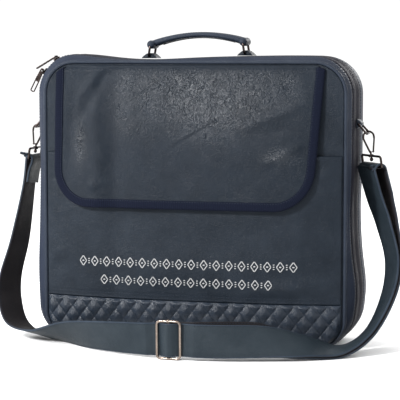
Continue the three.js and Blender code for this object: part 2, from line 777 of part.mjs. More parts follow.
function makeSideHardware(f) {
  const y_axis = v3(0, 1, 0);
  const tab_wire = side_wire / 2 + seam_gap;
  const base = v3(f.wall, hardware_y, f.level);
  const tab_inner = side_ring_width - side_wire - ring_corner * 2 - 0.6;
  const tab = tabBody(base, v3(0, 0, -f.side), v3(f.side, 0, 0), tab_height, tab_reach + side_wire / 2,
    Math.min(tab_width, tab_inner), f.inner, tab_wire);
  addPiece(`side_tab_${f.word}`, tab, 'leather');
  const ring_middle = f.inner.clone().addScaledVector(f.slope, f.reach / 2);
  const ring = roundedLoop(ring_middle, y_axis, f.slope, side_ring_width - side_wire, f.reach, ring_corner);
  addPiece(`side_ring_${f.word}`, wire(ring, side_wire / 2, true, 6, y_axis.clone().cross(f.slope)), 'dark_metal');

  const bow = (hook_width - hook_wire) / 2;
  const path = [f.at(bow * 1.35, bow)];
  const arc_steps = 6;
  for (let k = 0; k <= arc_steps; k += 1) {
    const turn = (k / arc_steps) * Math.PI;
    path.push(f.at(bow * (1 - Math.sin(turn)), bow * Math.cos(turn)));
  }
  path.push(f.at(bow * 1.5, -bow * 0.98), f.at(hook_length * 0.86, -bow * 0.2));
  path.push(f.at(hook_length * 0.95, 0), f.at(f.collar + collar_height / 2 + seam_gap + ball_radius, 0));
  const hook_body = toManifold(wire(path, hook_wire / 2, false, 6, y_axis));
  const ball_centre = f.at(f.collar + collar_height / 2 + seam_gap + ball_radius, 0);
  const ball = toManifold(ballAt(ball_centre, ball_radius, f.down));
  addPiece(`hook_${f.word}`, fromManifold(hook_body.add(ball)), 'dark_metal');

  const pivot = f.at(hook_length * 0.9, bow * 0.52);
  const lean = radians(gate_lean);
  const gate_end_gap = seam_gap;
  const gate_length = (hook_length * 0.9 - bow * 1.35 - gate_end_gap) / Math.cos(lean);
  const gate_along = f.down.clone().multiplyScalar(-Math.cos(lean)).addScaledVector(f.across, Math.sin(lean));
  const gate_tip = pivot.clone().addScaledVector(gate_along, gate_length);
  const gate = toManifold(wire([pivot, gate_tip], gate_wire / 2, false, 6, y_axis));
  const eye_span = [-1, 1].map((s) => pivot.clone().add(v3(0, s * hook_wire * 0.6, 0)));
  const eye = toManifold(wire(eye_span, gate_wire * 0.72, false, 8, v3(1, 0, 0)));
  addPiece(`hook_gate_${f.word}`, fromManifold(gate.add(eye)), 'dark_metal');

  const loop_middle = f.at(f.collar + loop_height / 2, 0);
  const loop = roundedLoop(loop_middle, f.bar_along, f.down, loop_width - loop_wire, loop_height, ring_corner);
  const loop_body = toManifold(wire(loop, loop_wire / 2, true, 6, f.bar_along.clone().cross(f.down)));
  const collar_span = [-0.5, 0.5].map((s) => f.at(f.collar + s * collar_height, 0));
  const collar = toManifold(wire(collar_span, collar_radius, false, 10, y_axis));
  const hole_span = [-1, 1].map((s) => f.at(f.collar + s * collar_height, 0));
  const hole = toManifold(wire(hole_span, hook_wire / 2 + seam_gap + 0.1, false, 8, y_axis));
  addPiece(`hook_loop_${f.word}`, fromManifold(loop_body.add(collar).subtract(hole)), 'dark_metal');
}

// The strap's route from the left loop along the ground to the right loop.
// x is a share of half the body's width, y of its depth, z of its height; lean turns the strap's width
// from the viewer through upright to away, and swing turns it about the vertical, both in degrees.
const strap_route = [
  { x: -1.134, y: -0.05, z: 0.528, lean: 0, swing: 1 },
  { x: -1.180, y: -0.13, z: 0.344, lean: 0, swing: 15 },
  { x: -1.228, y: -0.23, z: 0.210, lean: 0, swing: 22 },
  { x: -1.215, y: -0.33, z: 0.120, lean: 2, swing: 25 },
  { x: -1.135, y: -0.47, z: 0.046, lean: 6, swing: 22 },
  { x: -0.935, y: -0.74, z: 0.024, lean: 20, swing: 8 },
  { x: -0.700, y: -1.02, z: 0.046, lean: 48, swing: 0 },
  { x: -0.490, y: -1.27, z: 0.057, lean: 66, swing: 0 },
  { x: -0.230, y: -1.47, z: 0.064, lean: 80, swing: 0 },
  { x: 0.020, y: -1.56, z: 0.067, lean: 90, swing: 0 },
  { x: 0.250, y: -1.52, z: 0.066, lean: 97, swing: 0 },
  { x: 0.540, y: -1.34, z: 0.060, lean: 118, swing: 0 },
  { x: 0.790, y: -1.08, z: 0.036, lean: 156, swing: 0 },
  { x: 0.985, y: -0.76, z: 0.024, lean: 176, swing: -6 },
  { x: 1.125, y: -0.50, z: 0.075, lean: 180, swing: -15 },
  { x: 1.218, y: -0.30, z: 0.190, lean: 180, swing: -25 },
  { x: 1.240, y: -0.19, z: 0.308, lean: 180, swing: -32 },
  { x: 1.178, y: -0.09, z: 0.432, lean: 180, swing: -36 },
  { x: 1.120, y: -0.04, z: 0.516, lean: 180, swing: -39 },
];

// How far the strap's second layer lies from the first on the doubled side, as a share of the fold's width,
// and how far it has slid up beside it, as a share of the strap's width
const return_gap = [
  { station: 9, gap: 0.26, rise: 0 },
  { station: 10, gap: 0.42, rise: 0.08 },
  { station: 11, gap: 0.60, rise: 0.17 },
  { station: 12, gap: 0.32, rise: 0.06 },
  { station: 13, gap: 0.24, rise: 0 },
  { station: 14, gap: 0.24, rise: 0 },
  { station: 15, gap: 0.24, rise: 0 },
  { station: 16, gap: 0.30, rise: 0 },
  { station: 17, gap: 0.62, rise: 0 },
  { station: 18, gap: 0.92, rise: 0 },
];
const slider_station = return_gap[0].station;
const fold_width = 15;

// The left end's own tail: shares of the strap's width along it and of its thickness beside it
const left_tail = [
  { length: 0.8, beside: 1.24 },
  { length: 0.4, beside: 1.5 },
  { length: 0.14, beside: 2.3 },
];
const slider_samples = 5;

function routePlace(row) {
  return v3(row.x * body_width / 2, row.y * body_depth, row.z * body_height);
}

function widthDirection(lean, swing) {
  const away = v3(Math.sin(radians(swing)), Math.cos(radians(swing)), 0);
  return away.multiplyScalar(-Math.cos(radians(lean))).add(v3(0, 0, Math.sin(radians(lean))));
}

const catmull = (a, b, c, d, t) => 0.5 * (2 * b + (c - a) * t + (2 * a - 5 * b + 4 * c - d) * t ** 2
  + (3 * b - a - 3 * c + d) * t ** 3);

// Smooth samples between rows that hold a place and a width direction
function smoothRoute(rows, steps) {
  const out = [];
  const at = (i) => rows[Math.min(rows.length - 1, Math.max(0, i))];
  for (let i = 0; i + 1 < rows.length; i += 1) {
    for (let k = 0; k < steps; k += 1) {
      const t = k / steps;
      const blend = (pick) => catmull(pick(at(i - 1)), pick(at(i)), pick(at(i + 1)), pick(at(i + 2)), t);
      const place = v3(blend((r) => r.place.x), blend((r) => r.place.y), blend((r) => r.place.z));
      const across = v3(blend((r) => r.across.x), blend((r) => r.across.y), blend((r) => r.across.z));
      out.push({ place, across: across.normalize(), row: i + t });
    }
  }
  const last = rows[rows.length - 1];
  out.push({ place: last.place.clone(), across: last.across.clone().normalize(), row: rows.length - 1 });
  return out;
}

// Each sample's direction of travel and face direction
function framed(samples) {
  return samples.map((sample, i) => {
    const before = samples[Math.max(0, i - 1)].place;
    const after = samples[Math.min(samples.length - 1, i + 1)].place;
    const along = after.clone().sub(before).normalize();
    const face = along.clone().cross(sample.across).normalize();
    const across = face.clone().cross(along).normalize();
    return { ...sample, along, face, across };
  });
}

function strapBody(sections) {
  const half = strap_width / 2;
  const thin = strap_thickness / 2;
  const profile = [[-1, 0], [-0.96, -1], [0.96, -1], [1, 0], [0.96, 1], [-0.96, 1]];
  return loft(sections.map(({ place, across, face }) => profile.map(([w, t]) => place.clone()
    .addScaledVector(across, w * half)
    .addScaledVector(face, t * thin))));
}

// Lifts each sample until the strap's lower edge, or that of the layer under it, clears the ground
function onGround(samples, layerBelow) {
  return framed(samples).map((s) => {
    const below = Math.abs(s.across.z) * strap_width / 2 + Math.abs(s.face.z) * strap_thickness / 2;
    const lack = below + Math.max(0, s.face.z) * layerBelow(s.row) + seam_gap - s.place.z;
    return { ...s, place: s.place.clone().add(v3(0, 0, Math.max(0, lack))) };
  });
}

// Half a turn over a loop's bar, from one side to the other, as places with the strap's width direction
function foldOver(frame, radius, outward, from, to, steps) {
  const rest = loop_wire / 2 + strap_slack + strap_thickness / 2;
  const centre = frame.bar.clone().add(v3(0, 0, rest - radius));
  return Array.from({ length: steps + 1 }, (_, k) => {
    const turn = radians(mix(from, to, k / steps));
    const place = centre.clone().addScaledVector(outward, Math.cos(turn) * radius).add(v3(0, 0, Math.sin(turn) * radius));
    return { place, across: frame.bar_along.clone() };
  });
}

function makeStrap() {
  const rows = strap_route.map((row) => ({ place: routePlace(row), across: widthDirection(row.lean, row.swing) }));
  const { left, right } = frames;
  const left_out = v3(-1, 0, 0);
  const right_out = v3(Math.cos(radians(loop_swing.right)), -Math.sin(radians(loop_swing.right)), 0);

  // The left end wraps the bar and comes back down beside itself
  const bar_clear = loop_wire / 2 + strap_slack + strap_thickness / 2;
  const wrap = foldOver(left, bar_clear, left_out, 180, 0, 5)
    .map((s) => ({ ...s, across: left.bar_along.clone().negate() }));
  const wrap_end = wrap[wrap.length - 1].place;
  const down = rows[0].place.clone().sub(wrap_end).normalize();
  const tail = left_tail.map(({ length, beside }) => ({
    place: wrap_end.clone().addScaledVector(down, strap_width * length).add(v3(strap_thickness * beside, 0, 0)),
    across: wrap[0].across.clone(),
  }));

  // On the right it comes up the inner side of the loop, folds over the bar and goes down the outer side
  const rising = foldOver(right, fold_width / 2, right_out, 180, 90, 4);
  const falling = foldOver(right, fold_width / 2, right_out, 67.5, 0, 3);
  const shift = tail.length + wrap.length;
  const slider_row = shift + slider_station;
  const last_row = shift + strap_route.length - 1;
  const fromTable = (row, column) => {
    const station = row - shift;
    if (station < slider_station) return 0;
    const k = Math.min(return_gap.length - 2, Math.floor(station) - slider_station);
    const t = Math.min(1, station - return_gap[k].station);
    return mix(return_gap[k][column], return_gap[k + 1][column], t);
  };
  const gapAt = (row) => fromTable(row, 'gap') * fold_width;
  const riseAt = (row) => fromTable(row, 'rise') * strap_width;
  const samples = onGround(smoothRoute([...tail, ...wrap, ...rows, ...rising], 2), gapAt);

  // The slider's frame stands round the strap, which goes behind its sides and before its middle bar
  const middle = samples.find((s) => s.row >= slider_row);
  const slider = { place: middle.place.clone(), along: middle.along, across: middle.across, face: middle.face };
  const clear = slider_wire / 2 + strap_thickness / 2 + seam_gap * 1.5;
  const half = (slider_width - slider_wire) / 2;
  const along = (place) => place.clone().sub(slider.place).dot(slider.along);
  const nearSlider = (s) => Math.abs(s.row - slider_row) < 2;
  const finer = samples.flatMap((s, i) => {
    const next = samples[i + 1];
    if (!next || !nearSlider(s)) return [s];
    return Array.from({ length: slider_samples }, (_, k) => {
      const t = k / slider_samples;
      const across = s.across.clone().lerp(next.across, t).normalize();
      return { place: s.place.clone().lerp(next.place, t), across, row: mix(s.row, next.row, t) };
    });
  });
  const threaded = framed(finer.map((s) => {
    if (!nearSlider(s)) return s;
    const off = Math.abs(along(s.place));
    const wave = Math.cos(Math.min(1, off / half) * Math.PI) * (1 - ease(half * 1.2, half * 2.2, off));
    return { ...s, place: s.place.clone().addScaledVector(slider.face, wave * clear) };
  }));

  // The second layer follows the first at a distance given by the table, back to the slider's middle bar
  const second = threaded
    .filter((s) => s.row <= last_row && s.row > slider_row && along(s.place) > slider_wire / 2 + seam_gap)
    .map((s) => {
      const beside = s.place.clone().addScaledVector(s.face, -gapAt(s.row));
      return { ...s, place: beside.addScaledVector(s.across, riseAt(s.row)) };
    })
    .reverse()
    .map((s) => ({ ...s, face: s.face.clone().negate() }));
  const fold = framed([threaded[threaded.length - 1], ...falling, second[0]]).slice(1, -1);
  addPiece('shoulder_strap', strapBody([...threaded, ...fold, ...second]), 'leather');

  const ring = roundedLoop(slider.place, slider.along, slider.across, slider_width - slider_wire,
    slider_height - slider_wire, 4);
  const frame = toManifold(wire(ring, slider_wire / 2, true, 6, slider.along.clone().cross(slider.across)));
  const bar_span = [-0.5, 0.5].map((s) => slider.place.clone()
    .addScaledVector(slider.across, s * (slider_height - slider_wire)));
  const bar = toManifold(wire(bar_span, slider_wire / 2 - 0.2, false, 6, slider.along));
  addPiece('strap_slider', fromManifold(frame.add(bar)), 'pale_metal');
}

// Two zip sliders on the tape at the upper left corner, each with a hinged pull
const zip_middle_y = (zip_a_start + zip_a_end) / 2;
const zip_sliders = [
  { word: 'upper', place: 120, pull_turn: 210, y_shift: 1.6, plate: 'flat' },
  { word: 'lower', place: 146, pull_turn: 243, y_shift: -4.1, plate: 'edge' },
];

function makeZipSliders() {
  for (const row of zip_sliders) {
    const turn = radians(row.place);
    const out = v3(Math.cos(turn), 0, Math.sin(turn));
    const along = v3(-Math.sin(turn), 0, Math.cos(turn));
    const corner = v3(-(body_width / 2 - top_corner_radius), zip_middle_y, body_height - top_corner_radius);
    const lift = waveLift(corner.x + out.x * top_corner_radius);
    const foot = corner.clone().addScaledVector(out, top_corner_radius - zip_sunk + 0.6 + seam_gap);
    foot.z += lift * Math.max(0, out.z);
    const block = [[-0.5, 0.02], [0.5, 0.02], [0.42, 1], [-0.42, 1]];
    const body_height_own = 3.4;
    const sections = [-0.5, 0.5].map((end) => block.map(([a, o]) => foot.clone()
      .addScaledVector(along, a * slider_body)
      .addScaledVector(out, o * body_height_own)
      .add(v3(0, end * (zip_width - seam_gap * 2), 0))));
    const bail_height = body_height_own + 1.9;
    const bail = foot.clone().addScaledVector(out, bail_height).add(v3(0, row.y_shift, 0));
    const plate_width = row.plate === 'flat' ? pull_width - 1 : pull_thickness;
    const ear = (s) => {
      const y = s * (plate_width / 2 + seam_gap + 0.6);
      const low = foot.clone().addScaledVector(out, body_height_own * 0.5).add(v3(0, row.y_shift + y, 0));
      const high = bail.clone().add(v3(0, y, 0)).addScaledVector(out, 0.7);
      return wire([low, high], 0.75, false, 6, v3(0, 1, 0));
    };
    let body = toManifold(loft(sections));
    for (const s of [-1, 1]) {
      const y = Math.abs(row.y_shift + s * (plate_width / 2 + seam_gap + 0.6));
      if (y < (zip_width - seam_gap * 2) / 2) body = body.add(toManifold(ear(s)));
    }
    const pin_half = plate_width / 2 + seam_gap + 1;
    const pin_span = [-1, 1].map((s) => bail.clone().add(v3(0, s * pin_half, 0)));
    body = body.add(toManifold(wire(pin_span, 0.6, false, 6, v3(1, 0, 0))));
    addPiece(`zip_slider_${row.word}`, fromManifold(body), 'dark_metal');

    const pull_turn = radians(row.pull_turn);
    const reach = v3(Math.cos(pull_turn), 0, Math.sin(pull_turn));
    const lie = v3(-Math.sin(pull_turn), 0, Math.cos(pull_turn));
    const widthwise = row.plate === 'flat' ? v3(0, 1, 0) : lie;
    const thickwise = row.plate === 'flat' ? lie : v3(0, 1, 0);
    const shape = [[-1.4, 1.4], [1.6, 1.6], [pull_length * 0.7, pull_width * 0.46], [pull_length - 3, pull_width / 2],
      [pull_length - 1.5, pull_width * 0.28]];
    const rim = [...shape, ...shape.slice().reverse().map(([a, w]) => [a, -w])];
    const limit = row.plate === 'flat' ? plate_width / 2 : pull_width / 2;
    const plate = [-0.5, 0.5].map((t) => rim.map(([a, w]) => bail.clone()
      .addScaledVector(reach, a)
      .addScaledVector(widthwise, Math.max(-limit, Math.min(limit, w)))
      .addScaledVector(thickwise, t * pull_thickness)));
    const hole = wire([-1, 1].map((s) => bail.clone().add(v3(0, s * pull_width, 0))), 0.6 + seam_gap * 0.8, false, 8, v3(1, 0, 0));
    const slot_mid = bail.clone().addScaledVector(reach, pull_length * 0.72);
    const slot = [-1, 1].map((t) => [[-1, -1], [1, -1], [1, 1], [-1, 1]].map(([a, w]) => slot_mid.clone()
      .addScaledVector(reach, a * pull_length * 0.16)
      .addScaledVector(widthwise, w * limit * 0.36)
      .addScaledVector(thickwise, t * pull_thickness)));
    const pull = toManifold(loft(plate)).subtract(toManifold(hole)).subtract(toManifold(loft(slot)));
    addPiece(`zip_pull_${row.word}`, fromManifold(pull), 'dark_metal');
  }
}

makeBody();
makePocket();
makeQuilt();
makeFlap();
makeBinding();
makeHandle();
makeSideHardware(frames.left);
makeSideHardware(frames.right);
makeStrap();
makeZipSliders();

export default group;
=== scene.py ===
"""The dressed pieces of a soft carrying bag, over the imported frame. Sizes are millimetres until a mesh is made."""
import math

import bpy
import numpy as np
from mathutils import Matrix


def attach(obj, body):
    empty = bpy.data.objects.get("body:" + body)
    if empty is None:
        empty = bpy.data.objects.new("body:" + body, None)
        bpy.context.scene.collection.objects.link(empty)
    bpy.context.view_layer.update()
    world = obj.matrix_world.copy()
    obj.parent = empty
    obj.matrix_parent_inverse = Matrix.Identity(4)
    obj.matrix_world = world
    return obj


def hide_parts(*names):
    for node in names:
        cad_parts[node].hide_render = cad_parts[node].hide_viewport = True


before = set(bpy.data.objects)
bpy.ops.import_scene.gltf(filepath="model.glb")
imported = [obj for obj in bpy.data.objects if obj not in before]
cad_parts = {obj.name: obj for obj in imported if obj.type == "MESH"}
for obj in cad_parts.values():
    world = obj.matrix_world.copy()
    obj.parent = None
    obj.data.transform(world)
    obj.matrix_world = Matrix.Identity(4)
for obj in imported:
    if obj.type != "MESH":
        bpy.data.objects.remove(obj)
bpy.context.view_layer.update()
MM = 0.001
scene = bpy.context.scene

# Sizes shared with the solids
BODY_W, BODY_H, BODY_D = 386, 343, 95
FRONT_W, FRONT_H, FRONT_SHIFT = 364, 335, 4
TOP_R, BASE_R, FRONT_R = 44, 40, 35
LEATHER, GAP, PIPE_R = 2.2, 0.35, 2.3
CROWN, BACK_CROWN = 17, 5
POCKET_H, POCKET_T = 229, 1.8
QUILT_H, QUILT_T = 55, 1.4
FLAP_W, FLAP_DROP, FLAP_T, FLAP_R, FLAP_LIFT, FLAP_SHIFT = 324, 170, 2.4, 46, 6, -6.5
BIND_W, BIND_T = 10, 3.6
FRONT_Y, BACK_Y = -BODY_D / 2, BODY_D / 2
PIPE_Y = FRONT_Y + PIPE_R * 0.4
BAND_A = PIPE_Y + PIPE_R + GAP
BAND_B = BAND_A + 12.5
ZIP_A = BAND_B + GAP
ZIP_B = ZIP_A + 6
MID_A = ZIP_B + GAP
REAR_B = BACK_Y - PIPE_R * 2
REAR_A = REAR_B - 20
MID_B = REAR_A - GAP
HARD_Y = (MID_A + MID_B) / 2
FRONT_BASE = PIPE_R * 2 + GAP
FRONT_BASE_R = BASE_R - (BODY_W - FRONT_W) / 2
MARGIN = 1.3
HANDLE_SPAN, HANDLE_FEET, HANDLE_TILT = 119, {-1: 341.5, 1: 344.8}, 9
HANDLE_WIRE, HANDLE_RING_W, HANDLE_RING_H = 2.6, 28, 17
GRIP_T, HANDLE_ARCH = 9, 10.0
TAB_LEVEL, TAB_STEP, SIDE_WIRE, SIDE_SLOPE, SIDE_RING_W, SIDE_RING_H = 265, 3, 2.4, 48, 23, 18
HOOK_TILT, HOOK_WIRE, HOOK_LENGTH, HOOK_WIDTH, GATE_WIRE, GATE_TILT = 8, 2.1, 27, 14.5, 1.8, 11
COLLAR_H, LOOP_WIRE, LOOP_W, LOOP_H, LOOP_DROP, LOOP_SWING = 1.6, 2.6, 45, 13, 6.5, -40
STRAP_W, STRAP_T, FOLD_W, SLACK = 38, 3, 15, 0.8
SLIDER_ROW, SLIDER_WIRE, SLIDER_W, SLIDER_H = 9, 3.2, 31, 46
# How much thicker the round wires are than the solids' six-sided ones
WIRE_EXTRA = 0.12
X_AXIS, Y_AXIS, Z_AXIS = np.eye(3)


# Vectors and curves
def vec(*v):
    return np.array(v, float)


def unit(v):
    v = np.asarray(v, float)
    return v / np.maximum(np.linalg.norm(v, axis=-1, keepdims=True), 1e-12)


def mix(a, b, t):
    return a + (b - a) * t


def ease(a, b, x):
    t = np.clip((np.asarray(x, float) - a) / (b - a), 0, 1)
    return t * t * (3 - 2 * t)


def bump(d, s):
    return np.exp(-((d / s) ** 2))


def smooth_table(xs, ys, x):
    """A smooth curve through a table's points."""
    xs, ys = np.asarray(xs, float), np.asarray(ys, float)
    slope = np.gradient(ys, xs)
    k = np.clip(np.searchsorted(xs, x) - 1, 0, len(xs) - 2)
    h = xs[k + 1] - xs[k]
    t = np.clip((x - xs[k]) / h, 0, 1)
    return ((2 * t**3 - 3 * t**2 + 1) * ys[k] + (t**3 - 2 * t**2 + t) * h * slope[k]
            + (-2 * t**3 + 3 * t**2) * ys[k + 1] + (t**3 - t**2) * h * slope[k + 1])


# Meshes
def volume_of(points, faces):
    total = 0.0
    for size in (3, 4):
        f = np.array([q for q in faces if len(q) == size])
        if len(f):
            a = points[f[:, 0]]
            for k in range(1, size - 1):
                total += np.einsum("ij,ij->", a, np.cross(points[f[:, k]], points[f[:, k + 1]]))
    return total


def piece(name, shapes, materials, nodes=(), body="bag", values=None):
    """One object from shapes of points, faces and material numbers."""
    points, faces, numbers = [], [], []
    start = 0
    for shape in shapes:
        p, f, *rest = shape
        p = np.asarray(p, float)
        flip = volume_of(p - p.mean(0), f) < 0
        for q in f:
            faces.append([start + i for i in (reversed(q) if flip else q)])
        numbers += list(rest[0]) if rest and not np.isscalar(rest[0]) else [rest[0] if rest else 0] * len(f)
        points.append(p)
        start += len(p)
    data = bpy.data.meshes.new(name)
    data.from_pydata((np.concatenate(points) * MM).tolist(), [], faces)
    for m in materials:
        data.materials.append(m)
    data.polygons.foreach_set("material_index", numbers)
    data.polygons.foreach_set("use_smooth", [True] * len(faces))
    for key, column in (values or {}).items():
        layer = data.attributes.new(key, "FLOAT", "POINT")
        layer.data.foreach_set("value", np.resize(np.asarray(column, float), len(data.vertices)))
    data.update()
    made = bpy.data.objects.new(name, data)
    scene.collection.objects.link(made)
    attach(made, body)
    if nodes:
        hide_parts(*nodes)
    return made


def ring_faces(n, m, endless=False):
    """Faces between n rings of m points each."""
    i, k = np.arange(n if endless else n - 1)[:, None], np.arange(m)[None, :]
    i1, k1 = (i + 1) % n, (k + 1) % m
    return np.stack(np.broadcast_arrays(i * m + k, i * m + k1, i1 * m + k1, i1 * m + k), -1).reshape(-1, 4).tolist()


def loft(sections, endless=False):
    s = np.asarray(sections, float)
    n, m, _ = s.shape
    faces = ring_faces(n, m, endless)
    points = s.reshape(-1, 3)
    if not endless:
        points = np.vstack([points, s[0].mean(0), s[-1].mean(0)])
        for row, tip in ((0, n * m), (n - 1, n * m + 1)):
            for k in range(m):
                a, b = row * m + k, row * m + (k + 1) % m
                faces.append([tip, b, a] if row == 0 else [tip, a, b])
    return points, faces


def panel(front, back):
    """A closed sheet between two grids of points."""
    r, c, _ = front.shape
    points = np.concatenate([front.reshape(-1, 3), back.reshape(-1, 3)])
    size = r * c
    i, j = np.meshgrid(np.arange(r - 1), np.arange(c - 1), indexing="ij")
    a = (i * c + j).ravel()
    quads = np.stack([a, a + 1, a + 1 + c, a + c], -1)
    faces = quads.tolist() + (quads[:, ::-1] + size).tolist()
    rim = list(range(c - 1)) + [k * c + c - 1 for k in range(r - 1)]
    rim += [(r - 1) * c + k for k in range(c - 1, 0, -1)] + [k * c for k in range(r - 1, 0, -1)]
    for n, here in enumerate(rim):
        there = rim[(n + 1) % len(rim)]
        faces.append([there, here, here + size, there + size])
    return points, faces


def rod(points, radius, closed=False, guide=(0, 1, 0), sides=12, flat=1.0, ends=True):
    """A round wire along points; flat squeezes it along the guide's other direction."""
    p = np.asarray(points, float)
    r = np.broadcast_to(np.asarray(radius, float), (len(p),)).copy()
    along = unit(np.roll(p, -1, 0) - np.roll(p, 1, 0) if closed else np.gradient(p, axis=0))
    side = unit(np.cross(along, np.asarray(guide, float)))
    up = np.cross(side, along)
    if not closed and ends:
        turn = np.radians([75, 50, 25])
        head = [(p[0] - along[0] * r[0] * math.sin(t), r[0] * math.cos(t)) for t in turn]
        tail = [(p[-1] + along[-1] * r[-1] * math.sin(t), r[-1] * math.cos(t)) for t in turn[::-1]]
        p = np.vstack([[h[0] for h in head], p, [t[0] for t in tail]])
        r = np.concatenate([[h[1] for h in head], r, [t[1] for t in tail]])
        side = np.vstack([[side[0]] * 3, side, [side[-1]] * 3])
        up = np.vstack([[up[0]] * 3, up, [up[-1]] * 3])
    turn = (np.arange(sides) + 0.5) / sides * 2 * math.pi
    sections = (p[:, None] + side[:, None] * (np.cos(turn) * r[:, None])[..., None] * flat
                + up[:, None] * (np.sin(turn) * r[:, None])[..., None])
    return loft(sections, closed)


def rounded_loop(middle, across, up, width, height, radius, steps=6):
    out = []
    for quarter, (sx, sy) in enumerate([(1, 1), (-1, 1), (-1, -1), (1, -1)]):
        for k in range(steps + 1):
            t = (quarter + k / steps) * math.pi / 2
            out.append(middle + across * (sx * (width / 2 - radius) + math.cos(t) * radius)
                       + up * (sy * (height / 2 - radius) + math.sin(t) * radius))
    return even(np.array(out), 2.0, True)


def run_of(p):
    """The length run along a path at each of its points."""
    return np.concatenate([[0], np.cumsum(np.linalg.norm(np.diff(p, axis=0), axis=1))])


def sampled(at, run, p):
    return np.stack([np.interp(at, run, p[:, k]) for k in range(3)], -1)


def even(points, step, closed=False):
    """The same path with points at even steps."""
    p = np.asarray(points, float)
    if closed:
        p = np.vstack([p, p[:1]])
    run = run_of(p)
    keep = np.concatenate([[True], np.diff(run) > 1e-9])
    p, run = p[keep], run[keep]
    count = max(3, int(round(run[-1] / step)))
    at = np.linspace(0, run[-1], count + 1)
    if closed:
        at = at[:-1]
    return sampled(at, run, p)


def rounded_path(points, steps=8):
    """A smooth path through a few points."""
    p = np.asarray(points, float)
    at = lambda i: p[min(len(p) - 1, max(0, i))]
    out = []
    for i in range(len(p) - 1):
        a, b, c, d = at(i - 1), at(i), at(i + 1), at(i + 2)
        for k in range(steps):
            t = k / steps
            out.append(0.5 * (2 * b + (c - a) * t + (2 * a - 5 * b + 4 * c - d) * t**2
                              + (3 * b - a - 3 * c + d) * t**3))
    out.append(p[-1])
    return np.array(out)


def stitch_row(path, normal, pitch=3.6, length=2.6, thick=0.42, sink=0.1):
    """Short thread stitches along a path that lies on a surface with those normals."""
    p = np.asarray(path, float)
    nrm = np.broadcast_to(np.asarray(normal, float), p.shape)
    run = run_of(p)
    count = int(run[-1] / pitch)
    mids = (np.arange(count) + 0.5) * run[-1] / count
    n = unit(sampled(mids, run, nrm))
    a, b = sampled(mids - length / 2, run, p), sampled(mids + length / 2, run, p)
    along = unit(b - a)
    side = unit(np.cross(along, n))
    up = np.cross(side, along)
    rings = [(-0.5, 0.3, -0.3), (-0.34, 0.95, 0.1), (0, 1.0, 0.35), (0.34, 0.95, 0.1), (0.5, 0.3, -0.3)]
    m = 6
    turn = np.arange(m) / m * 2 * math.pi
    mid = (a + b) / 2
    pts = []
    for s, r, lift in rings:
        centre = mid + along * s * length + up * (thick * lift - sink)
        pts.append(centre[:, None] + side[:, None] * np.cos(turn)[None, :, None] * thick * r
                   + up[:, None] * np.sin(turn)[None, :, None] * thick * r)
    pts = np.stack(pts, 1).reshape(count, -1, 3)
    one = ring_faces(len(rings), m)
    one += [[0, k + 1, k] for k in range(1, m - 1)] + [[4 * m, 4 * m + k, 4 * m + k + 1] for k in range(1, m - 1)]
    faces = []
    for c in range(count):
        base = c * len(rings) * m
        faces += [[base + q for q in f] for f in one]
    return pts.reshape(-1, 3), faces


# Materials
def new_material(name, color, rough, metal=0.0, specular=0.5, sheen=0.0):
    m = bpy.data.materials.new(name)
    m.use_nodes = True
    b = m.node_tree.nodes["Principled BSDF"]
    b.inputs["Base Color"].default_value = (*color, 1)
    b.inputs["Roughness"].default_value = rough
    b.inputs["Metallic"].default_value = metal
    b.inputs["Specular IOR Level"].default_value = specular
    b.inputs["Sheen Weight"].default_value = sheen
    return m, m.node_tree, b


def fill(tree, socket, value):
    """Links a socket to another node's output, or sets its value."""
    if isinstance(value, bpy.types.NodeSocket):
        tree.links.new(value, socket)
    else:
        socket.default_value = value


def add(tree, kind, *sockets, **values):
    """A node with its first sockets, its properties and its named sockets filled."""
    node = tree.nodes.new("ShaderNode" + kind)
    for key, value in values.items():
        if hasattr(node, key):
            setattr(node, key, value)
        else:
            fill(tree, node.inputs[key.replace("_", " ")], value)
    for socket, value in zip(node.inputs, sockets):
        fill(tree, socket, value)
    return node


def ramp(tree, source, stops):
    node = add(tree, "ValToRGB", source)
    e = node.color_ramp.elements
    while len(e) > 1:
        e.remove(e[-1])
    e[0].position, e[0].color = stops[0][0], (*stops[0][1], 1)
    for place, color in stops[1:]:
        e.new(place).color = (*color, 1)
    return node.outputs[0]


def object_place(tree):
    return add(tree, "TexCoord").outputs["Object"]


def attribute(tree, name):
    return add(tree, "Attribute", attribute_name=name).outputs["Fac"]


def noise(tree, where, scale, detail=2.0, output="Fac", **values):
    return add(tree, "TexNoise", where, Scale=scale, Detail=detail, **values).outputs[output]


def math_of(tree, operation, *sockets):
    return add(tree, "Math", *sockets, operation=operation).outputs[0]


def moved(tree, where, source, reach):
    """A place shifted by a noise's colour."""
    return add(tree, "VectorMath", source, (reach,) * 3, where, operation="MULTIPLY_ADD").outputs[0]


def spread(tree, source, low, high, to_low, to_high):
    return add(tree, "MapRange", source, From_Min=low, From_Max=high, To_Min=to_low, To_Max=to_high).outputs[0]


def bumped(tree, height, strength, distance, normal=None):
    more = {} if normal is None else {"Normal": normal}
    return add(tree, "Bump", Strength=strength, Distance=distance, Height=height, **more).outputs[0]


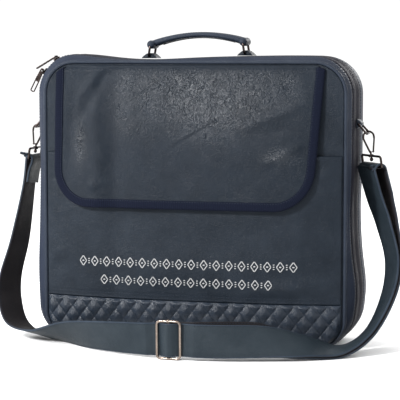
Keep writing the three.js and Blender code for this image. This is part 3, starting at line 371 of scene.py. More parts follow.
def leather_material(name, dark, light, rough=0.42, grain=1.0, creases=0.5, cell=900.0, specular=0.11, cracks_with_highlight=False):
    """Faux leather: fine cells, longer creases, and uneven tone and gloss. On the flap's cracked area it also paints
    highlight: the wrinkle crests are paled.
    """
    m, t, b = new_material(name, dark, rough, specular=specular)
    where = object_place(t)
    warp = add(t, "TexNoise", where, Scale=60.0, Detail=4.0, Roughness=0.65)
    bent = moved(t, where, warp.outputs["Color"], 0.012)
    cells = add(t, "TexVoronoi", bent, feature="DISTANCE_TO_EDGE", Scale=cell).outputs["Distance"]
    crease = add(t, "TexVoronoi", bent, feature="DISTANCE_TO_EDGE", Scale=150.0).outputs["Distance"]
    pores = noise(t, where, 1500.0)
    tint = ramp(t, noise(t, where, 26.0, 8.0, Roughness=0.72), [(0.32, dark), (0.68, light)])
    gloss = spread(t, warp.outputs["Fac"], 0.3, 0.7, rough - 0.07, rough + 0.09)
    normal = None
    if cracks_with_highlight:
        cracks_and_highlight = attribute(t, "cracks_and_highlight")
        shifted = moved(t, where, noise(t, where, 95.0, output="Color"), 0.022)
        squeezed = add(t, "Mapping", shifted, Scale=(1.0, 1.0, 0.55)).outputs[0]
        wrinkles = noise(t, squeezed, 340.0, 3.0, noise_type="RIDGED_MULTIFRACTAL")
        depth = math_of(t, "MULTIPLY", wrinkles, cracks_and_highlight)
        normal = bumped(t, depth, 1.0, 0.0026)
        gloss = math_of(t, "MULTIPLY_ADD", cracks_and_highlight, -0.10, gloss)
        fill(t, b.inputs["Specular IOR Level"], math_of(t, "MULTIPLY_ADD", cracks_and_highlight, 0.22, specular))
        # Painted highlight: on the cracked area the wrinkle crests are mixed towards a pale blue-grey. The bump,
        # gloss and specular rise with it are the surface's own.
        pale = add(t, "Mix", data_type="RGBA", blend_type="MIX")
        for number, value in ((0, spread(t, depth, 0.25, 1.1, 0.0, 0.5)), (6, tint), (7, (0.034, 0.044, 0.062, 1))):
            fill(t, pale.inputs[number], value)
        tint = pale.outputs[2]
    fill(t, b.inputs["Base Color"], tint)
    fill(t, b.inputs["Roughness"], gloss)
    for source, strength, distance in ((cells, 0.55 * grain, 0.00025), (crease, 0.35 * creases, 0.0006),
                                       (pores, 0.2 * grain, 0.00012)):
        normal = bumped(t, spread(t, source, 0.0, 0.35, 0.0, 1.0), strength, distance, normal)
    fill(t, b.inputs["Normal"], normal)
    return m


def cloth_material(name, dark, light, pitch=1.4, rough=0.85):
    """Ribbed cloth; the ribs stand across the run, whose length each point holds in millimetres. Its colour is darker
    in the rib grooves and lighter on the crests, as painted shade, over a random tone.
    """
    m, t, b = new_material(name, dark, rough, specular=0.06, sheen=0.01)
    ribs = math_of(t, "SINE", math_of(t, "MULTIPLY", attribute(t, "run"), 2 * math.pi / pitch))
    both = math_of(t, "MULTIPLY_ADD", ribs, 0.28, noise(t, object_place(t), 900.0, 3.0))
    # Painted shade: the colour follows the ribs' height, darker in the grooves; the noise adds random tone.
    fill(t, b.inputs["Base Color"], ramp(t, both, [(0.25, dark), (0.8, light)]))
    fill(t, b.inputs["Normal"], bumped(t, both, 0.6, 0.0004))
    return m


def metal_material(name, dark, light, rough=0.28):
    """Plated metal with faint rub marks."""
    m, t, b = new_material(name, dark, rough, metal=1.0)
    surface_marks = noise(t, object_place(t), 160.0, 5.0, Roughness=0.7)
    fill(t, b.inputs["Base Color"], ramp(t, surface_marks, [(0.35, dark), (0.7, light)]))
    fill(t, b.inputs["Roughness"], spread(t, surface_marks, 0.3, 0.7, rough - 0.06, rough + 0.1))
    fill(t, b.inputs["Normal"], bumped(t, surface_marks, 0.08, 0.0002))
    return m


def thread_material(name, dark, light, rough=0.6, scale=1400.0):
    """Twisted thread; its colour follows the twist's ridges and grooves, lighter on top and darker between, as
    painted shade.
    """
    m, t, b = new_material(name, dark, rough, specular=0.12)
    wave = add(t, "TexWave", object_place(t), bands_direction="DIAGONAL", Scale=scale, Distortion=1.0).outputs["Fac"]
    # Painted shade: darker in the twist's grooves, lighter on its ridges
    fill(t, b.inputs["Base Color"], ramp(t, wave, [(0.0, dark), (0.8, light)]))
    fill(t, b.inputs["Normal"], bumped(t, wave, 0.4, 0.0002))
    return m


LEATHER_M = leather_material("leather_navy", (0.0056, 0.0087, 0.0134), (0.0112, 0.0158, 0.0228), 0.35, specular=0.095)
FLAP_M = leather_material("leather_flap", (0.0050, 0.0078, 0.0122), (0.0090, 0.0130, 0.0192), 0.34, specular=0.08,
                          cracks_with_highlight=True)
QUILT_M = leather_material("leather_quilted", (0.0086, 0.0130, 0.0205), (0.0150, 0.0212, 0.0320), 0.28, creases=0.2,
                           specular=0.24)
PIPE_M = leather_material("leather_piping", (0.0120, 0.0165, 0.0260), (0.0190, 0.0250, 0.0370), 0.36, creases=0.1)
GUSSET_M = leather_material("leather_gusset", (0.0135, 0.0180, 0.0295), (0.0200, 0.0255, 0.0400), creases=0.1,
                            specular=0.08)
SIDE_M = leather_material("leather_side", (0.0120, 0.0118, 0.0165), (0.0190, 0.0184, 0.0245), 0.5, creases=0.2,
                          specular=0.03)
STRAP_M = leather_material("leather_strap", (0.0105, 0.0162, 0.0216), (0.0195, 0.0268, 0.0335), 0.40, creases=0.25)
# The strap's underside: a darker, browner copy of the strap leather, as painted shade
UNDERSIDE_SHADE_M = leather_material("strap_underside_shade", (0.0075, 0.0068, 0.0085), (0.0140, 0.0122, 0.0135), 0.6, creases=0.05)
EDGE_M = leather_material("strap_edge", (0.0130, 0.0200, 0.0310), (0.0240, 0.0340, 0.0480), 0.5, creases=0.05)
RIBBON_M = cloth_material("ribbon_navy", (0.0022, 0.0034, 0.0085), (0.0048, 0.0066, 0.0150), pitch=2.3)
TAPE_M = cloth_material("zip_tape_cloth", (0.004, 0.0045, 0.007), (0.010, 0.010, 0.014), pitch=0.8)
TOOTH_M, _, _ = new_material("zip_teeth", (0.010, 0.011, 0.016), 0.35, specular=0.3)
DARK_METAL = metal_material("dark_plating", (0.022, 0.017, 0.016), (0.060, 0.046, 0.043), rough=0.22)
PALE_METAL = metal_material("pale_plating", (0.16, 0.130, 0.110), (0.27, 0.222, 0.192), rough=0.2)
THREAD_M = thread_material("thread_navy", (0.006, 0.009, 0.014), (0.018, 0.024, 0.036))
SILVER_M = thread_material("thread_silver", (0.22, 0.225, 0.23), (0.40, 0.40, 0.40), rough=0.45, scale=900.0)


# The body's outline, in step with the solids' own
CORNER, SIDE_N, TOP_N, BASE_N = 14, 26, 30, 20


def outline(width, height, shift, base, top_r, base_r):
    out = []
    half = width / 2

    def arc(cx, cz, r, start):
        for k in range(CORNER + 1):
            t = math.radians(start + 90 * k / CORNER)
            out.append((cx + shift + math.cos(t) * r, cz + math.sin(t) * r, math.cos(t), math.sin(t)))

    def run(x0, z0, x1, z1, nx, nz, n):
        for k in range(1, n):
            out.append((mix(x0, x1, k / n) + shift, mix(z0, z1, k / n), nx, nz))

    side, top_side, low = half - base_r, half - top_r, base + base_r
    run(-side, base, side, base, 0, -1, BASE_N)
    arc(side, low, base_r, -90)
    run(half, low, half, height - top_r, 1, 0, SIDE_N)
    arc(top_side, height - top_r, top_r, 0)
    run(top_side, height, -top_side, height, 0, 1, TOP_N)
    arc(-top_side, height - top_r, top_r, 90)
    run(-half, height - top_r, -half, low, -1, 0, SIDE_N)
    arc(-side, low, base_r, 180)
    return np.array(out)


OUTER = outline(BODY_W, BODY_H, 0, 0, TOP_R, BASE_R)
INNER = outline(FRONT_W, FRONT_H, FRONT_SHIFT, FRONT_BASE, FRONT_R, FRONT_BASE_R)
TOP_WAVES = [(-0.40, 0.10, 0.010), (-0.16, 0.16, -0.010), (0.30, 0.18, 0.004)]
SIDE_WAVES = [(1, 0.19, 0.11, 0.016), (1, 0.47, 0.10, -0.004), (-1, 0.24, 0.14, 0.006), (-1, 0.62, 0.12, -0.003)]


def wave_lift(x):
    return sum(bump(x / BODY_W - p, s) * r * BODY_H for p, s, r in TOP_WAVES)


def body_ring(flare, inset, y, ribs=False, wall=0.0):
    """Points all round the body at one depth."""
    nx, nz = OUTER[:, 2], OUTER[:, 3]
    x = mix(INNER[:, 0], OUTER[:, 0], flare)
    z = mix(INNER[:, 1], OUTER[:, 1], flare)
    z = z + np.maximum(0, nz) * wave_lift(x) * min(1, max(0, flare))
    for side, level, spread, reach in SIDE_WAVES:
        near = bump(z / BODY_H - level, spread)
        x = x + np.maximum(0, nx * side) * side * near * reach * BODY_W * flare
    inset = (inset * (1 + np.minimum(0, nz)) if inset < 0 or ribs else inset) + wall
    return np.stack([x - nx * inset, np.full_like(x, y), z - nz * inset], -1)


def band(rows, wall, ribs=False):
    """rows: y, flare, inset. A closed band of even wall; its ribs are pressed flat at the base."""
    outer = [body_ring(f, i, y, ribs) for y, f, i in rows]
    inner = [body_ring(f, i, y, ribs, wall) for y, f, i in rows]
    return loft(np.stack(outer + inner[::-1], 1), True)


def pipe_ring(flare, inset, y, sides=14):
    turn = (np.arange(sides) + 0.5) / sides * 2 * math.pi
    rings = [body_ring(flare, inset - math.cos(t) * PIPE_R, y + math.sin(t) * PIPE_R) for t in turn]
    return loft(np.stack(rings, 1), True)


def closed(ring):
    """The same points with the first one again at the end."""
    return np.vstack([ring, ring[:1]])


# The front's height field
DENTS = [(-0.245, 0.44, 0.035, 0.22, -2.6), (-0.33, 0.50, 0.05, 0.16, 2.2), (0.10, 0.52, 0.09, 0.05, -1.0),
         (0.0, 0.28, 0.30, 0.09, 2.4), (0.42, 0.30, 0.05, 0.12, -1.8), (-0.42, 0.22, 0.05, 0.06, -2.2)]


def stand(x, z):
    u = (x - FRONT_SHIFT) / (FRONT_W / 2)
    w = z / FRONT_H
    sides = np.maximum(0, 1 - np.abs(u) ** 3.2)
    lower = np.sin(np.clip(w / 0.13, 0, 1) * math.pi / 2)
    upper = np.clip((1 - w) / 0.62, 0, 1)
    s = CROWN * sides * lower * np.sin(upper * math.pi / 2) ** 0.9
    for dx, dz, wide, tall, depth in DENTS:
        s = s + bump((x - FRONT_SHIFT) / FRONT_W - dx, wide) * bump(w - dz, tall) * depth * sides * lower
    return np.maximum(0, s)


def front_half(z, inset):
    half = FRONT_W / 2 - inset
    low, high = FRONT_BASE_R - inset, FRONT_R - inset
    below = np.clip(FRONT_BASE + inset + low - z, 0, low)
    above = np.clip(z - (FRONT_H - inset - high), 0, high)
    return np.where(below > 0, half - low + np.sqrt(np.maximum(0, low**2 - below**2)),
                    np.where(above > 0, half - high + np.sqrt(np.maximum(0, high**2 - above**2)), half))


def edge_samples(count, length, fine=(0, 0.25, 0.6, 1.1, 1.8, 3.0)):
    """Shares from 0 to 1 with extra samples close to both ends."""
    f = np.array(fine) / length
    return np.concatenate([f, np.linspace(f[-1], 1 - f[-1], count)[1:-1], 1 - f[::-1]])


def roll(d, r):
    """How far an edge of that thickness has risen at distance d from its rim, as a share."""
    t = np.clip(d / r, 0, 1)
    return np.sqrt(np.maximum(0, 1 - (1 - t) ** 2))


def fold(x, z, x0, z0, x1, z1, wide, depth, soft=0.35):
    """A long soft fold between two places, positive out."""
    d = vec(x1 - x0, z1 - z0)
    length = np.linalg.norm(d)
    d = d / length
    s = ((x - x0) * d[0] + (z - z0) * d[1]) / length
    off = (x - x0) * -d[1] + (z - z0) * d[0]
    ends = ease(-soft, soft, s) * (1 - ease(1 - soft, 1 + soft, s))
    return bump(off, wide) * ends * depth


def front_grid(low, high, rows, columns, margin=MARGIN):
    """Places over the front between two levels, and how far each is from the side and from the nearest rim."""
    z = mix(low, high, edge_samples(rows, high - low))[:, None]
    half = front_half(z, margin)
    x = FRONT_SHIFT + mix(-1, 1, edge_samples(columns, FRONT_W))[None, :] * half
    z = np.broadcast_to(z, x.shape)
    to_side = half - np.abs(x - FRONT_SHIFT)
    return x, z, to_side, np.minimum(np.minimum(z - low, high - z), to_side)


def front_point(x, z, layer):
    return np.stack([x, FRONT_Y - stand(x, z) - layer, z], -1)


# Body
def make_body():
    x, z, _, _ = front_grid(FRONT_BASE + GAP, FRONT_H - GAP, 60, 60, GAP)
    sunk = 0.3 * stand(x, z)
    sheet = panel(front_point(x, z, -sunk), front_point(x, z, -sunk - LEATHER))
    piece("front_wall", [sheet], [LEATHER_M], ["front_panel"])

    piece("piping_front", [pipe_ring(0, -PIPE_R, PIPE_Y)], [PIPE_M], ["front_piping"])
    rear_pipe_y = REAR_B + GAP + PIPE_R
    piece("piping_rear", [pipe_ring(0.94, PIPE_R, rear_pipe_y)], [PIPE_M], ["rear_piping"])

    def gusset(word, low, high, count, fine, radius, turn, shape, material, ribs=False):
        """A band with turned edges; its shape gives the flare and the rest of the inset from the share across."""
        t = edge_samples(count, high - low, fine)
        flare, inset = shape(t)
        sunk = inset + turn * (1 - roll(np.minimum(t, 1 - t) * (high - low), radius))
        rows = list(zip(mix(low, high, t), flare, sunk))
        piece(f"gusset_{word}", [band(rows, LEATHER, ribs)], [material], [f"{word}_gusset"])

    gusset("front", BAND_A, BAND_B, 9, (0, 0.3, 0.9), 1.2, 0.8, lambda t: (
        smooth_table([0, 0.3, 0.65, 1], [0.22, 0.62, 0.92, 1.0], t), 0.35 * bump(t - 0.5, 0.10)), GUSSET_M)
    gusset("middle", MID_A, MID_B, 25, (0, 0.3, 0.9, 1.8), 1.6, 0.9, lambda t: (
        np.ones_like(t), smooth_table([0, 0.25, 0.5, 0.75, 1], [0, -0.72, 1.8, -0.72, 0], t)), SIDE_M, True)
    gusset("rear", REAR_A, REAR_B, 11, (0, 0.3, 0.9), 1.4, 0.9, lambda t: (
        smooth_table([0, 0.6, 1], [1, 1, 0.94], t), -0.3 * bump(t - 0.45, 0.3)), GUSSET_M)

    t = np.linspace(0, 1, 9)
    rows = [(y, 1, 1.6 - 0.35 * bump(s - 0.5, 0.35)) for s, y in zip(t, mix(ZIP_A, ZIP_B, t))]
    shapes = [band(rows, 1.2) + (0,)]
    path = even(closed(body_ring(1, 1.1, (ZIP_A + ZIP_B) / 2)), 1.0)
    for side in (-1, 1):
        shapes.append(stitch_row(path + vec(0, side * 0.75, 0), side * Y_AXIS, 1.7, 1.15, 0.62) + (1,))
    piece("zip_tape_and_teeth", shapes, [TAPE_M, TOOTH_M], ["zip_tape"])

    # Back panel, with a light bow, and its seam rows
    rings = np.concatenate([[0, 0.004, 0.01, 0.02], np.linspace(0.04, 0.97, 26)])
    rim = body_ring(0.94, PIPE_R * 2 + GAP, 0)
    grid = np.stack([mix(rim, rim.mean(0), s) for s in rings], 0)

    def bow(p):
        uu = np.minimum(1, np.abs(p[..., 0]) / (BODY_W / 2 - PIPE_R))
        ww = np.minimum(1, np.abs(p[..., 2] / BODY_H - 0.5) * 2)
        soft = 0.5 * np.sin(p[..., 0] / 47 + 1) * np.sin(p[..., 2] / 61)
        return BACK_CROWN * (1 - uu**3) * (1 - ww**3) + soft * (1 - uu**2) * (1 - ww**2)

    inside, outside = grid.copy(), grid.copy()
    inside[..., 1] = rear_pipe_y - LEATHER / 2 + bow(grid)
    edge = roll(rings * BODY_W / 2, 1.6)[:, None]
    outside[..., 1] = inside[..., 1] + LEATHER * mix(0.3, 1, edge)
    n = len(rim)
    layers = np.concatenate([inside.reshape(-1, 3), outside.reshape(-1, 3)])
    size = len(rings) * n
    sheet = ring_faces(len(rings), n)
    faces = sheet + [[size + q[k] for k in (1, 0, 3, 2)] for q in sheet]
    faces += [[size - n + k for k in range(n)], [size * 2 - n + k for k in reversed(range(n))]]
    faces += [[(k + 1) % n, k, size + k, size + (k + 1) % n] for k in range(n)]
    piece("back_wall", [(layers, faces)], [LEATHER_M], ["back_panel"])

    normal = closed(np.stack([OUTER[:, 2], 0 * OUTER[:, 2], OUTER[:, 3]], -1))
    rows = [(0.42, 0, BAND_A + 2.2), (0.985, 0, BAND_B - 1.8), (1, -0.15, MID_A + 2.2), (1, -0.15, MID_B - 2.2),
            (1, -0.05, REAR_A + 2.2), (0.95, 0.45, REAR_B - 3)]
    shapes = [stitch_row(closed(body_ring(*row)), normal) for row in rows]
    path = body_ring(0.94, PIPE_R * 2 + GAP + 4, 0)
    path[:, 1] = rear_pipe_y + LEATHER / 2 + bow(path)
    shapes.append(stitch_row(closed(path), Y_AXIS))
    piece("body_stitching", shapes, [THREAD_M])


# Long folds of the pocket: from x, z to x, z, half width, and how far it stands out
POCKET_FOLDS = [
    (-178, 197, -152, 198, 2.2, -1.1), (-178, 203, -152, 205, 3.5, 0.6), (150, 203, 182, 210, 6, 0.8),
    (-176, 84, -158, 96, 8, -1.6), (-172, 104, -150, 112, 9, 1.0), (-150, 150, -120, 70, 20, 0.8),
    (88, 70, 158, 76, 8, 1.5), (96, 86, 150, 90, 9, -0.8), (172, 150, 182, 128, 8, 1.0),
    (150, 160, 172, 110, 12, -0.9), (60, 150, 130, 120, 18, -0.6), (-40, 150, 30, 140, 26, 0.5),
]


def pocket_folds(x, z):
    s = 0.25 * np.sin(x / 31 + 0.6) * np.sin(z / 23)
    for row in POCKET_FOLDS:
        s = s + fold(x, z, *row)
    return s + 1.3 * bump(POCKET_H - z, 7)


POCKET_SEAMS, POCKET_HEM = (2.6, 6.2), 4.6


def make_pocket():
    low = QUILT_H + GAP
    x, z, to_side, to_rim = front_grid(low, POCKET_H, 90, 120)
    up, down = z - low, POCKET_H - z
    thick = POCKET_T * mix(0.25, 1, roll(to_rim, 1.3))
    hem = 0.5 * (1 - ease(2.5, 4.5, down)) * ease(0, 1.2, down)
    groove = 0.45 * sum(bump(up - seam, 0.8) for seam in POCKET_SEAMS) + 0.3 * bump(down - POCKET_HEM, 0.8)
    soft = pocket_folds(x, z) * ease(0, 14, np.where(down < 30, to_side, to_rim))
    front = front_point(x, z, GAP + np.maximum(0.25, thick + hem - groove) + soft)
    piece("pocket_leather", [panel(front, front_point(x, z, GAP + soft * 0.6))], [LEATHER_M], ["front_pocket"])
    rows = []
    for level, out in [(low + seam, 1.45) for seam in POCKET_SEAMS] + [(POCKET_H - POCKET_HEM, 1.6)]:
        half = front_half(level, MARGIN)
        x = np.linspace(-1, 1, 240) * (half - 2) + FRONT_SHIFT
        z = np.full_like(x, level)
        to_side = half - np.abs(x - FRONT_SHIFT)
        calm = ease(0, 14, to_side if level > QUILT_H * 2 else level - low)
        rows.append(stitch_row(front_point(x, z, GAP + out + pocket_folds(x, z) * calm), -Y_AXIS, 3.4, 2.5, 0.42))
    piece("pocket_stitching", rows, [THREAD_M])


def make_quilt():
    """Two staggered rows of padded diamonds, 19 across the foot."""
    pitch_x, pitch_z = (FRONT_W - MARGIN * 2) / 19, 23.5
    x, z, _, to_rim = front_grid(FRONT_BASE + MARGIN, QUILT_H, 70, 420)
    pillow = 1
    for slant in (1, -1):
        across = x / pitch_x + slant * (z - QUILT_H) / pitch_z
        pillow = pillow * np.clip(np.abs(across - np.round(across)) * 2, 0, 1)
    puff = 4.0 * pillow ** 0.34 * ease(0, 4, to_rim) * (1 + 0.12 * np.sin(x / 17.0 + z / 9.0))
    thick = QUILT_T * mix(0.3, 1, roll(to_rim, 1.0))
    sheet = panel(front_point(x, z, GAP + thick + puff), front_point(x, z, GAP))
    piece("quilted_foot", [sheet], [QUILT_M], ["quilted_band"])


FLAP_MID = FRONT_SHIFT + FLAP_SHIFT
FLAP_BASE = FRONT_H - FLAP_DROP
FLAP_LEAN, FLAP_LEAN_LEVEL = 13, 0.62


def flap_half(z, inset):
    r = FLAP_R - inset
    below = np.clip(FLAP_BASE + inset + r - z, 0, r)
    half = FLAP_W / 2 - inset
    return np.where(below > 0, half - r + np.sqrt(np.maximum(0, r**2 - below**2)), half)


def flap_lean(x, z):
    """The right side leans: wider at the top, narrower below."""
    return FLAP_LEAN * np.clip((x - FLAP_MID) / (FLAP_W / 2), 0, 1) * ((z - FLAP_BASE) / FLAP_DROP - FLAP_LEAN_LEVEL)


def flap_edge(side, z, inset):
    own = FLAP_MID + side * flap_half(z, inset)
    own = own + flap_lean(own, z)
    seam = FRONT_SHIFT + side * front_half(z, MARGIN)
    return np.minimum(own, seam) if side > 0 else np.maximum(own, seam)


def flap_gap(z):
    down = np.clip((FRONT_H - z) / FLAP_DROP, 0, 1)
    return GAP + (POCKET_T + GAP) * ease(0.05, 0.35, down) + FLAP_LIFT * down**2


# Long folds of the flap: from x, z to x, z, half width, and how far it stands out
FLAP_FOLDS = [
    (-116, 312, -108, 186, 9, 1.9), (-91, 318, -84, 192, 11, -2.0), (-101, 336, -137, 292, 5, 1.1),
    (-104, 318, -128, 276, 6, -1.5), (-122, 333, -98, 329, 4, 1.4), (-134, 262, -126, 206, 7, 1.2),
    (-116, 194, -108, 187, 5, 1.1), (-70, 322, -66, 262, 8, 0.9), (52, 322, 61, 292, 1.6, -0.6),
    (96, 326, 105, 291, 1.6, -0.6), (70, 261, 139, 287, 5, 1.3), (76, 249, 128, 262, 9, -1.2),
    (98, 221, 134, 238, 6, 1.5), (-8, 246, 46, 277, 1.8, 0.6), (-6, 243, 48, 274, 1.8, -0.5),
    (24, 222, 34, 212, 8, 0.4), (112, 326, 132, 296, 7, -0.9), (-30, 330, -34, 268, 10, 0.6),
    (22, 330, 26, 276, 9, 0.5), (-140, 320, -146, 200, 6, -0.8), (0, 186, 60, 184, 12, 0.6),
    (60, 210, 70, 186, 14, -0.7),
]


def cracks_and_highlight(x, z):
    """Where the flap's surface is cracked and carries painted highlight, from 0 to 1: most on the top middle, and in
    a few lighter patches.
    """
    top = ease(3, 14, FRONT_H - z)
    broad = ease(-112, -70, x) * (1 - ease(118, 146, x)) * ease(236, 300, z + 14 * np.sin(x / 26))
    heart = bump(x - 25, 62) * bump(z - 290, 36)
    # Patches of painted highlight, with cracked grain: x, half width, z, half height, and how much
    spots = ((-131, 8, 236, 24, 0.8), (114, 16, 228, 8, 0.8), (-66, 20, 262, 16, 0.25))
    share = top * (0.45 * broad + 0.75 * heart)
    highlight_patches = sum(bump(x - a, wide) * bump(z - b, tall) * much for a, wide, b, tall, much in spots)
    return np.clip(share + highlight_patches, 0, 1)


def flap_folds(x, z):
    s = 0.22 * np.sin(x / 27 + z / 55 + 1.2) * np.sin(z / 33 + 0.4)
    for row in FLAP_FOLDS:
        s = s + fold(x, z, *row) * 1.25
    return s


def on_flap(x, z, layer):
    calm = ease(0, 10, FRONT_H - z)
    return front_point(x, z, flap_gap(z) + layer + flap_folds(x, z) * calm)


def make_flap():
    inset, seam_drop = BIND_W - 2.5, 4.5
    top, low, r = FRONT_H - MARGIN, FLAP_BASE + inset, FLAP_R - inset
    turn = np.linspace(0, math.pi / 2, 26)[:-1]
    z = np.concatenate([low + r * (1 - np.cos(turn)), np.linspace(low + r, top - 3, 70)[:-1],
                        top - np.array([3, 1.8, 1.1, 0.6, 0.25, 0])])[:, None]
    x = mix(flap_edge(-1, z, inset), flap_edge(1, z, inset), edge_samples(150, FLAP_W, (0, 0.5, 1.2))[None, :])
    z = np.broadcast_to(z, x.shape)
    thick = FLAP_T * mix(0.3, 1, roll(top - z, 1.6)) - 0.5 * bump(top - z - seam_drop, 1.0)
    # The share of cracked grain and painted highlight; the back points get none
    surface_marks = cracks_and_highlight(x, z).ravel()
    piece("flap_leather", [panel(on_flap(x, z, thick), on_flap(x, z, 0))], [FLAP_M], ["flap"],
          values={"cracks_and_highlight": np.concatenate([surface_marks, surface_marks * 0])})

    # The ribbon round its edge, from the upper left to the upper right
    half, corner, bend, high = FLAP_W / 2, FLAP_W / 2 - FLAP_R, FLAP_BASE + FLAP_R, FRONT_H - FRONT_R * 0.1

    def arc(side, start):
        return [(side * corner + math.cos(a) * FLAP_R, bend + math.sin(a) * FLAP_R, math.cos(a), math.sin(a))
                for a in np.radians(np.linspace(start, start + 90, 30))]

    stations = [(-half, z, -1, 0) for z in np.linspace(high, bend, 60)[:-1]] + arc(-1, 180)
    stations += [(x, FLAP_BASE, 0, -1) for x in np.linspace(-corner, corner, 90)[1:-1]] + arc(1, 270)
    stations += [(half, z, 1, 0) for z in np.linspace(bend, high, 60)[1:]]
    sx, sz, nx, nz = np.array(stations).T
    seam = FRONT_SHIFT + np.sign(sx) * front_half(sz, MARGIN + 1)

    def line(across, out, held=True):
        """A line along the ribbon; a held one keeps inside the front's seam."""
        x = FLAP_MID + sx - nx * across * BIND_W
        z = sz - nz * across * BIND_W
        x = x + flap_lean(x, z)
        if held:
            x = np.where(sx > 0, np.minimum(x, seam), np.maximum(x, seam))
        return on_flap(x, z, out * BIND_T)

    profile = [(0.0, 0.1), (-0.06, 0.45), (0.0, 0.8), (0.1, 0.97), (0.3, 1.0), (0.6, 1.0), (0.82, 0.97), (0.86, 0.9),
               (0.9, 0.97), (0.96, 0.93), (1.0, 0.8), (1.0, 0.4), (0.9, -0.12), (0.5, -0.16), (0.12, -0.12)]
    run = np.concatenate([[0], np.cumsum(np.hypot(np.diff(sx), np.diff(sz)))])
    run = np.concatenate([np.repeat(run, len(profile)), [0, run[-1]]])
    piece("flap_ribbon", [loft(np.stack([line(*row) for row in profile], 1))], [RIBBON_M], ["flap_binding"],
          values={"run": run})
    x = np.linspace(FLAP_MID - half + 14, FLAP_MID + half - 14, 200)
    rows = [stitch_row(line(0.86, 0.93, False), -Y_AXIS, 3.2, 2.3, 0.3),
            stitch_row(on_flap(x, np.full_like(x, top - seam_drop), FLAP_T - 0.4), -Y_AXIS)]
    piece("flap_stitching", rows, [THREAD_M], ())


# Embroidered ornament: two rows of open lozenges with dots between them
ORNAMENT_ROWS, ORNAMENT_PITCH = ((-135, 138, 99.3, 5.4), (-108, 109, 77.6, 5.2)), 15.6


def make_ornament():
    shapes = []

    def thread(x, z, wide, lift):
        spots = front_point(x, z, GAP + POCKET_T + pocket_folds(x, z) + lift)
        shapes.append(rod(spots, wide / 2, sides=8))

    def dot(x, z, size):
        thread(x + np.linspace(-0.3, 0.3, 3) * size, np.full(3, float(z)), size, 0.1)

    t = np.linspace(0, 1, 7)
    for start, stop, z, tall in ORNAMENT_ROWS:
        count = int(round((stop - start) / ORNAMENT_PITCH))
        step = (stop - start) / count
        for k in range(count):
            x = start + (k + 0.5) * step
            for sx, sz in ((1, 1), (-1, 1), (-1, -1), (1, -1)):
                thread(mix(x + sx * 0.5, x + sx * 4.0, t), mix(z + sz * tall, z + sz * 0.5, t), 1.25, 0.15)
            dot(x, z, 1.7)
            if k + 1 < count:
                for rise in (-2.6, 0, 2.6):
                    dot(x + step / 2, z + rise, 1.35)
    piece("embroidered_ornament", shapes, [SILVER_M], ())


# Handle
SIDES = ((-1, "left"), (1, "right"))


def wire(loop, thick, guide, sides=12):
    """A closed wire."""
    return rod(loop, thick / 2 + WIRE_EXTRA, True, guide, sides)


def pin(place, reach, radius, guide, sides=12):
    """A short round pin, whose middle and half length are given."""
    return rod([place - reach, place, place + reach], radius, guide=guide, sides=sides)


def mound(base, along, out, length, height, width):
    """A leather tab folded round a wire, with its edges turned and stitched."""
    t = np.linspace(-0.5, 0.5, 25)
    lift = np.cos(t * math.pi) ** 0.8
    sections = []
    for end, edge in ((-0.5, 0.72), (-0.47, 0.92), (-0.4, 1), (0, 1), (0.4, 1), (0.47, 0.92), (0.5, 0.72)):
        middle = base + Y_AXIS * end * width
        over = [middle + along * a * length + out * (0.25 + h * height * edge) for a, h in zip(t, lift)]
        sections.append(over + [middle + along * a * length + out * 0.02 for a in t[::-1]])
    shapes = [loft(sections) + (0,)]
    for y in (-0.4, 0.4):
        middle = base + Y_AXIS * y * width
        path = np.array([middle + along * a * length * 0.94 + out * (0.3 + h * height) for a, h in zip(t, lift)])
        normal = unit(np.cross(np.gradient(path, axis=0), Y_AXIS))
        normal = normal * np.sign(np.sum(normal * out, -1, keepdims=True) + 1e-9)
        shapes.append(stitch_row(path, normal, 2.6, 1.8, 0.3) + (1,))
    return shapes


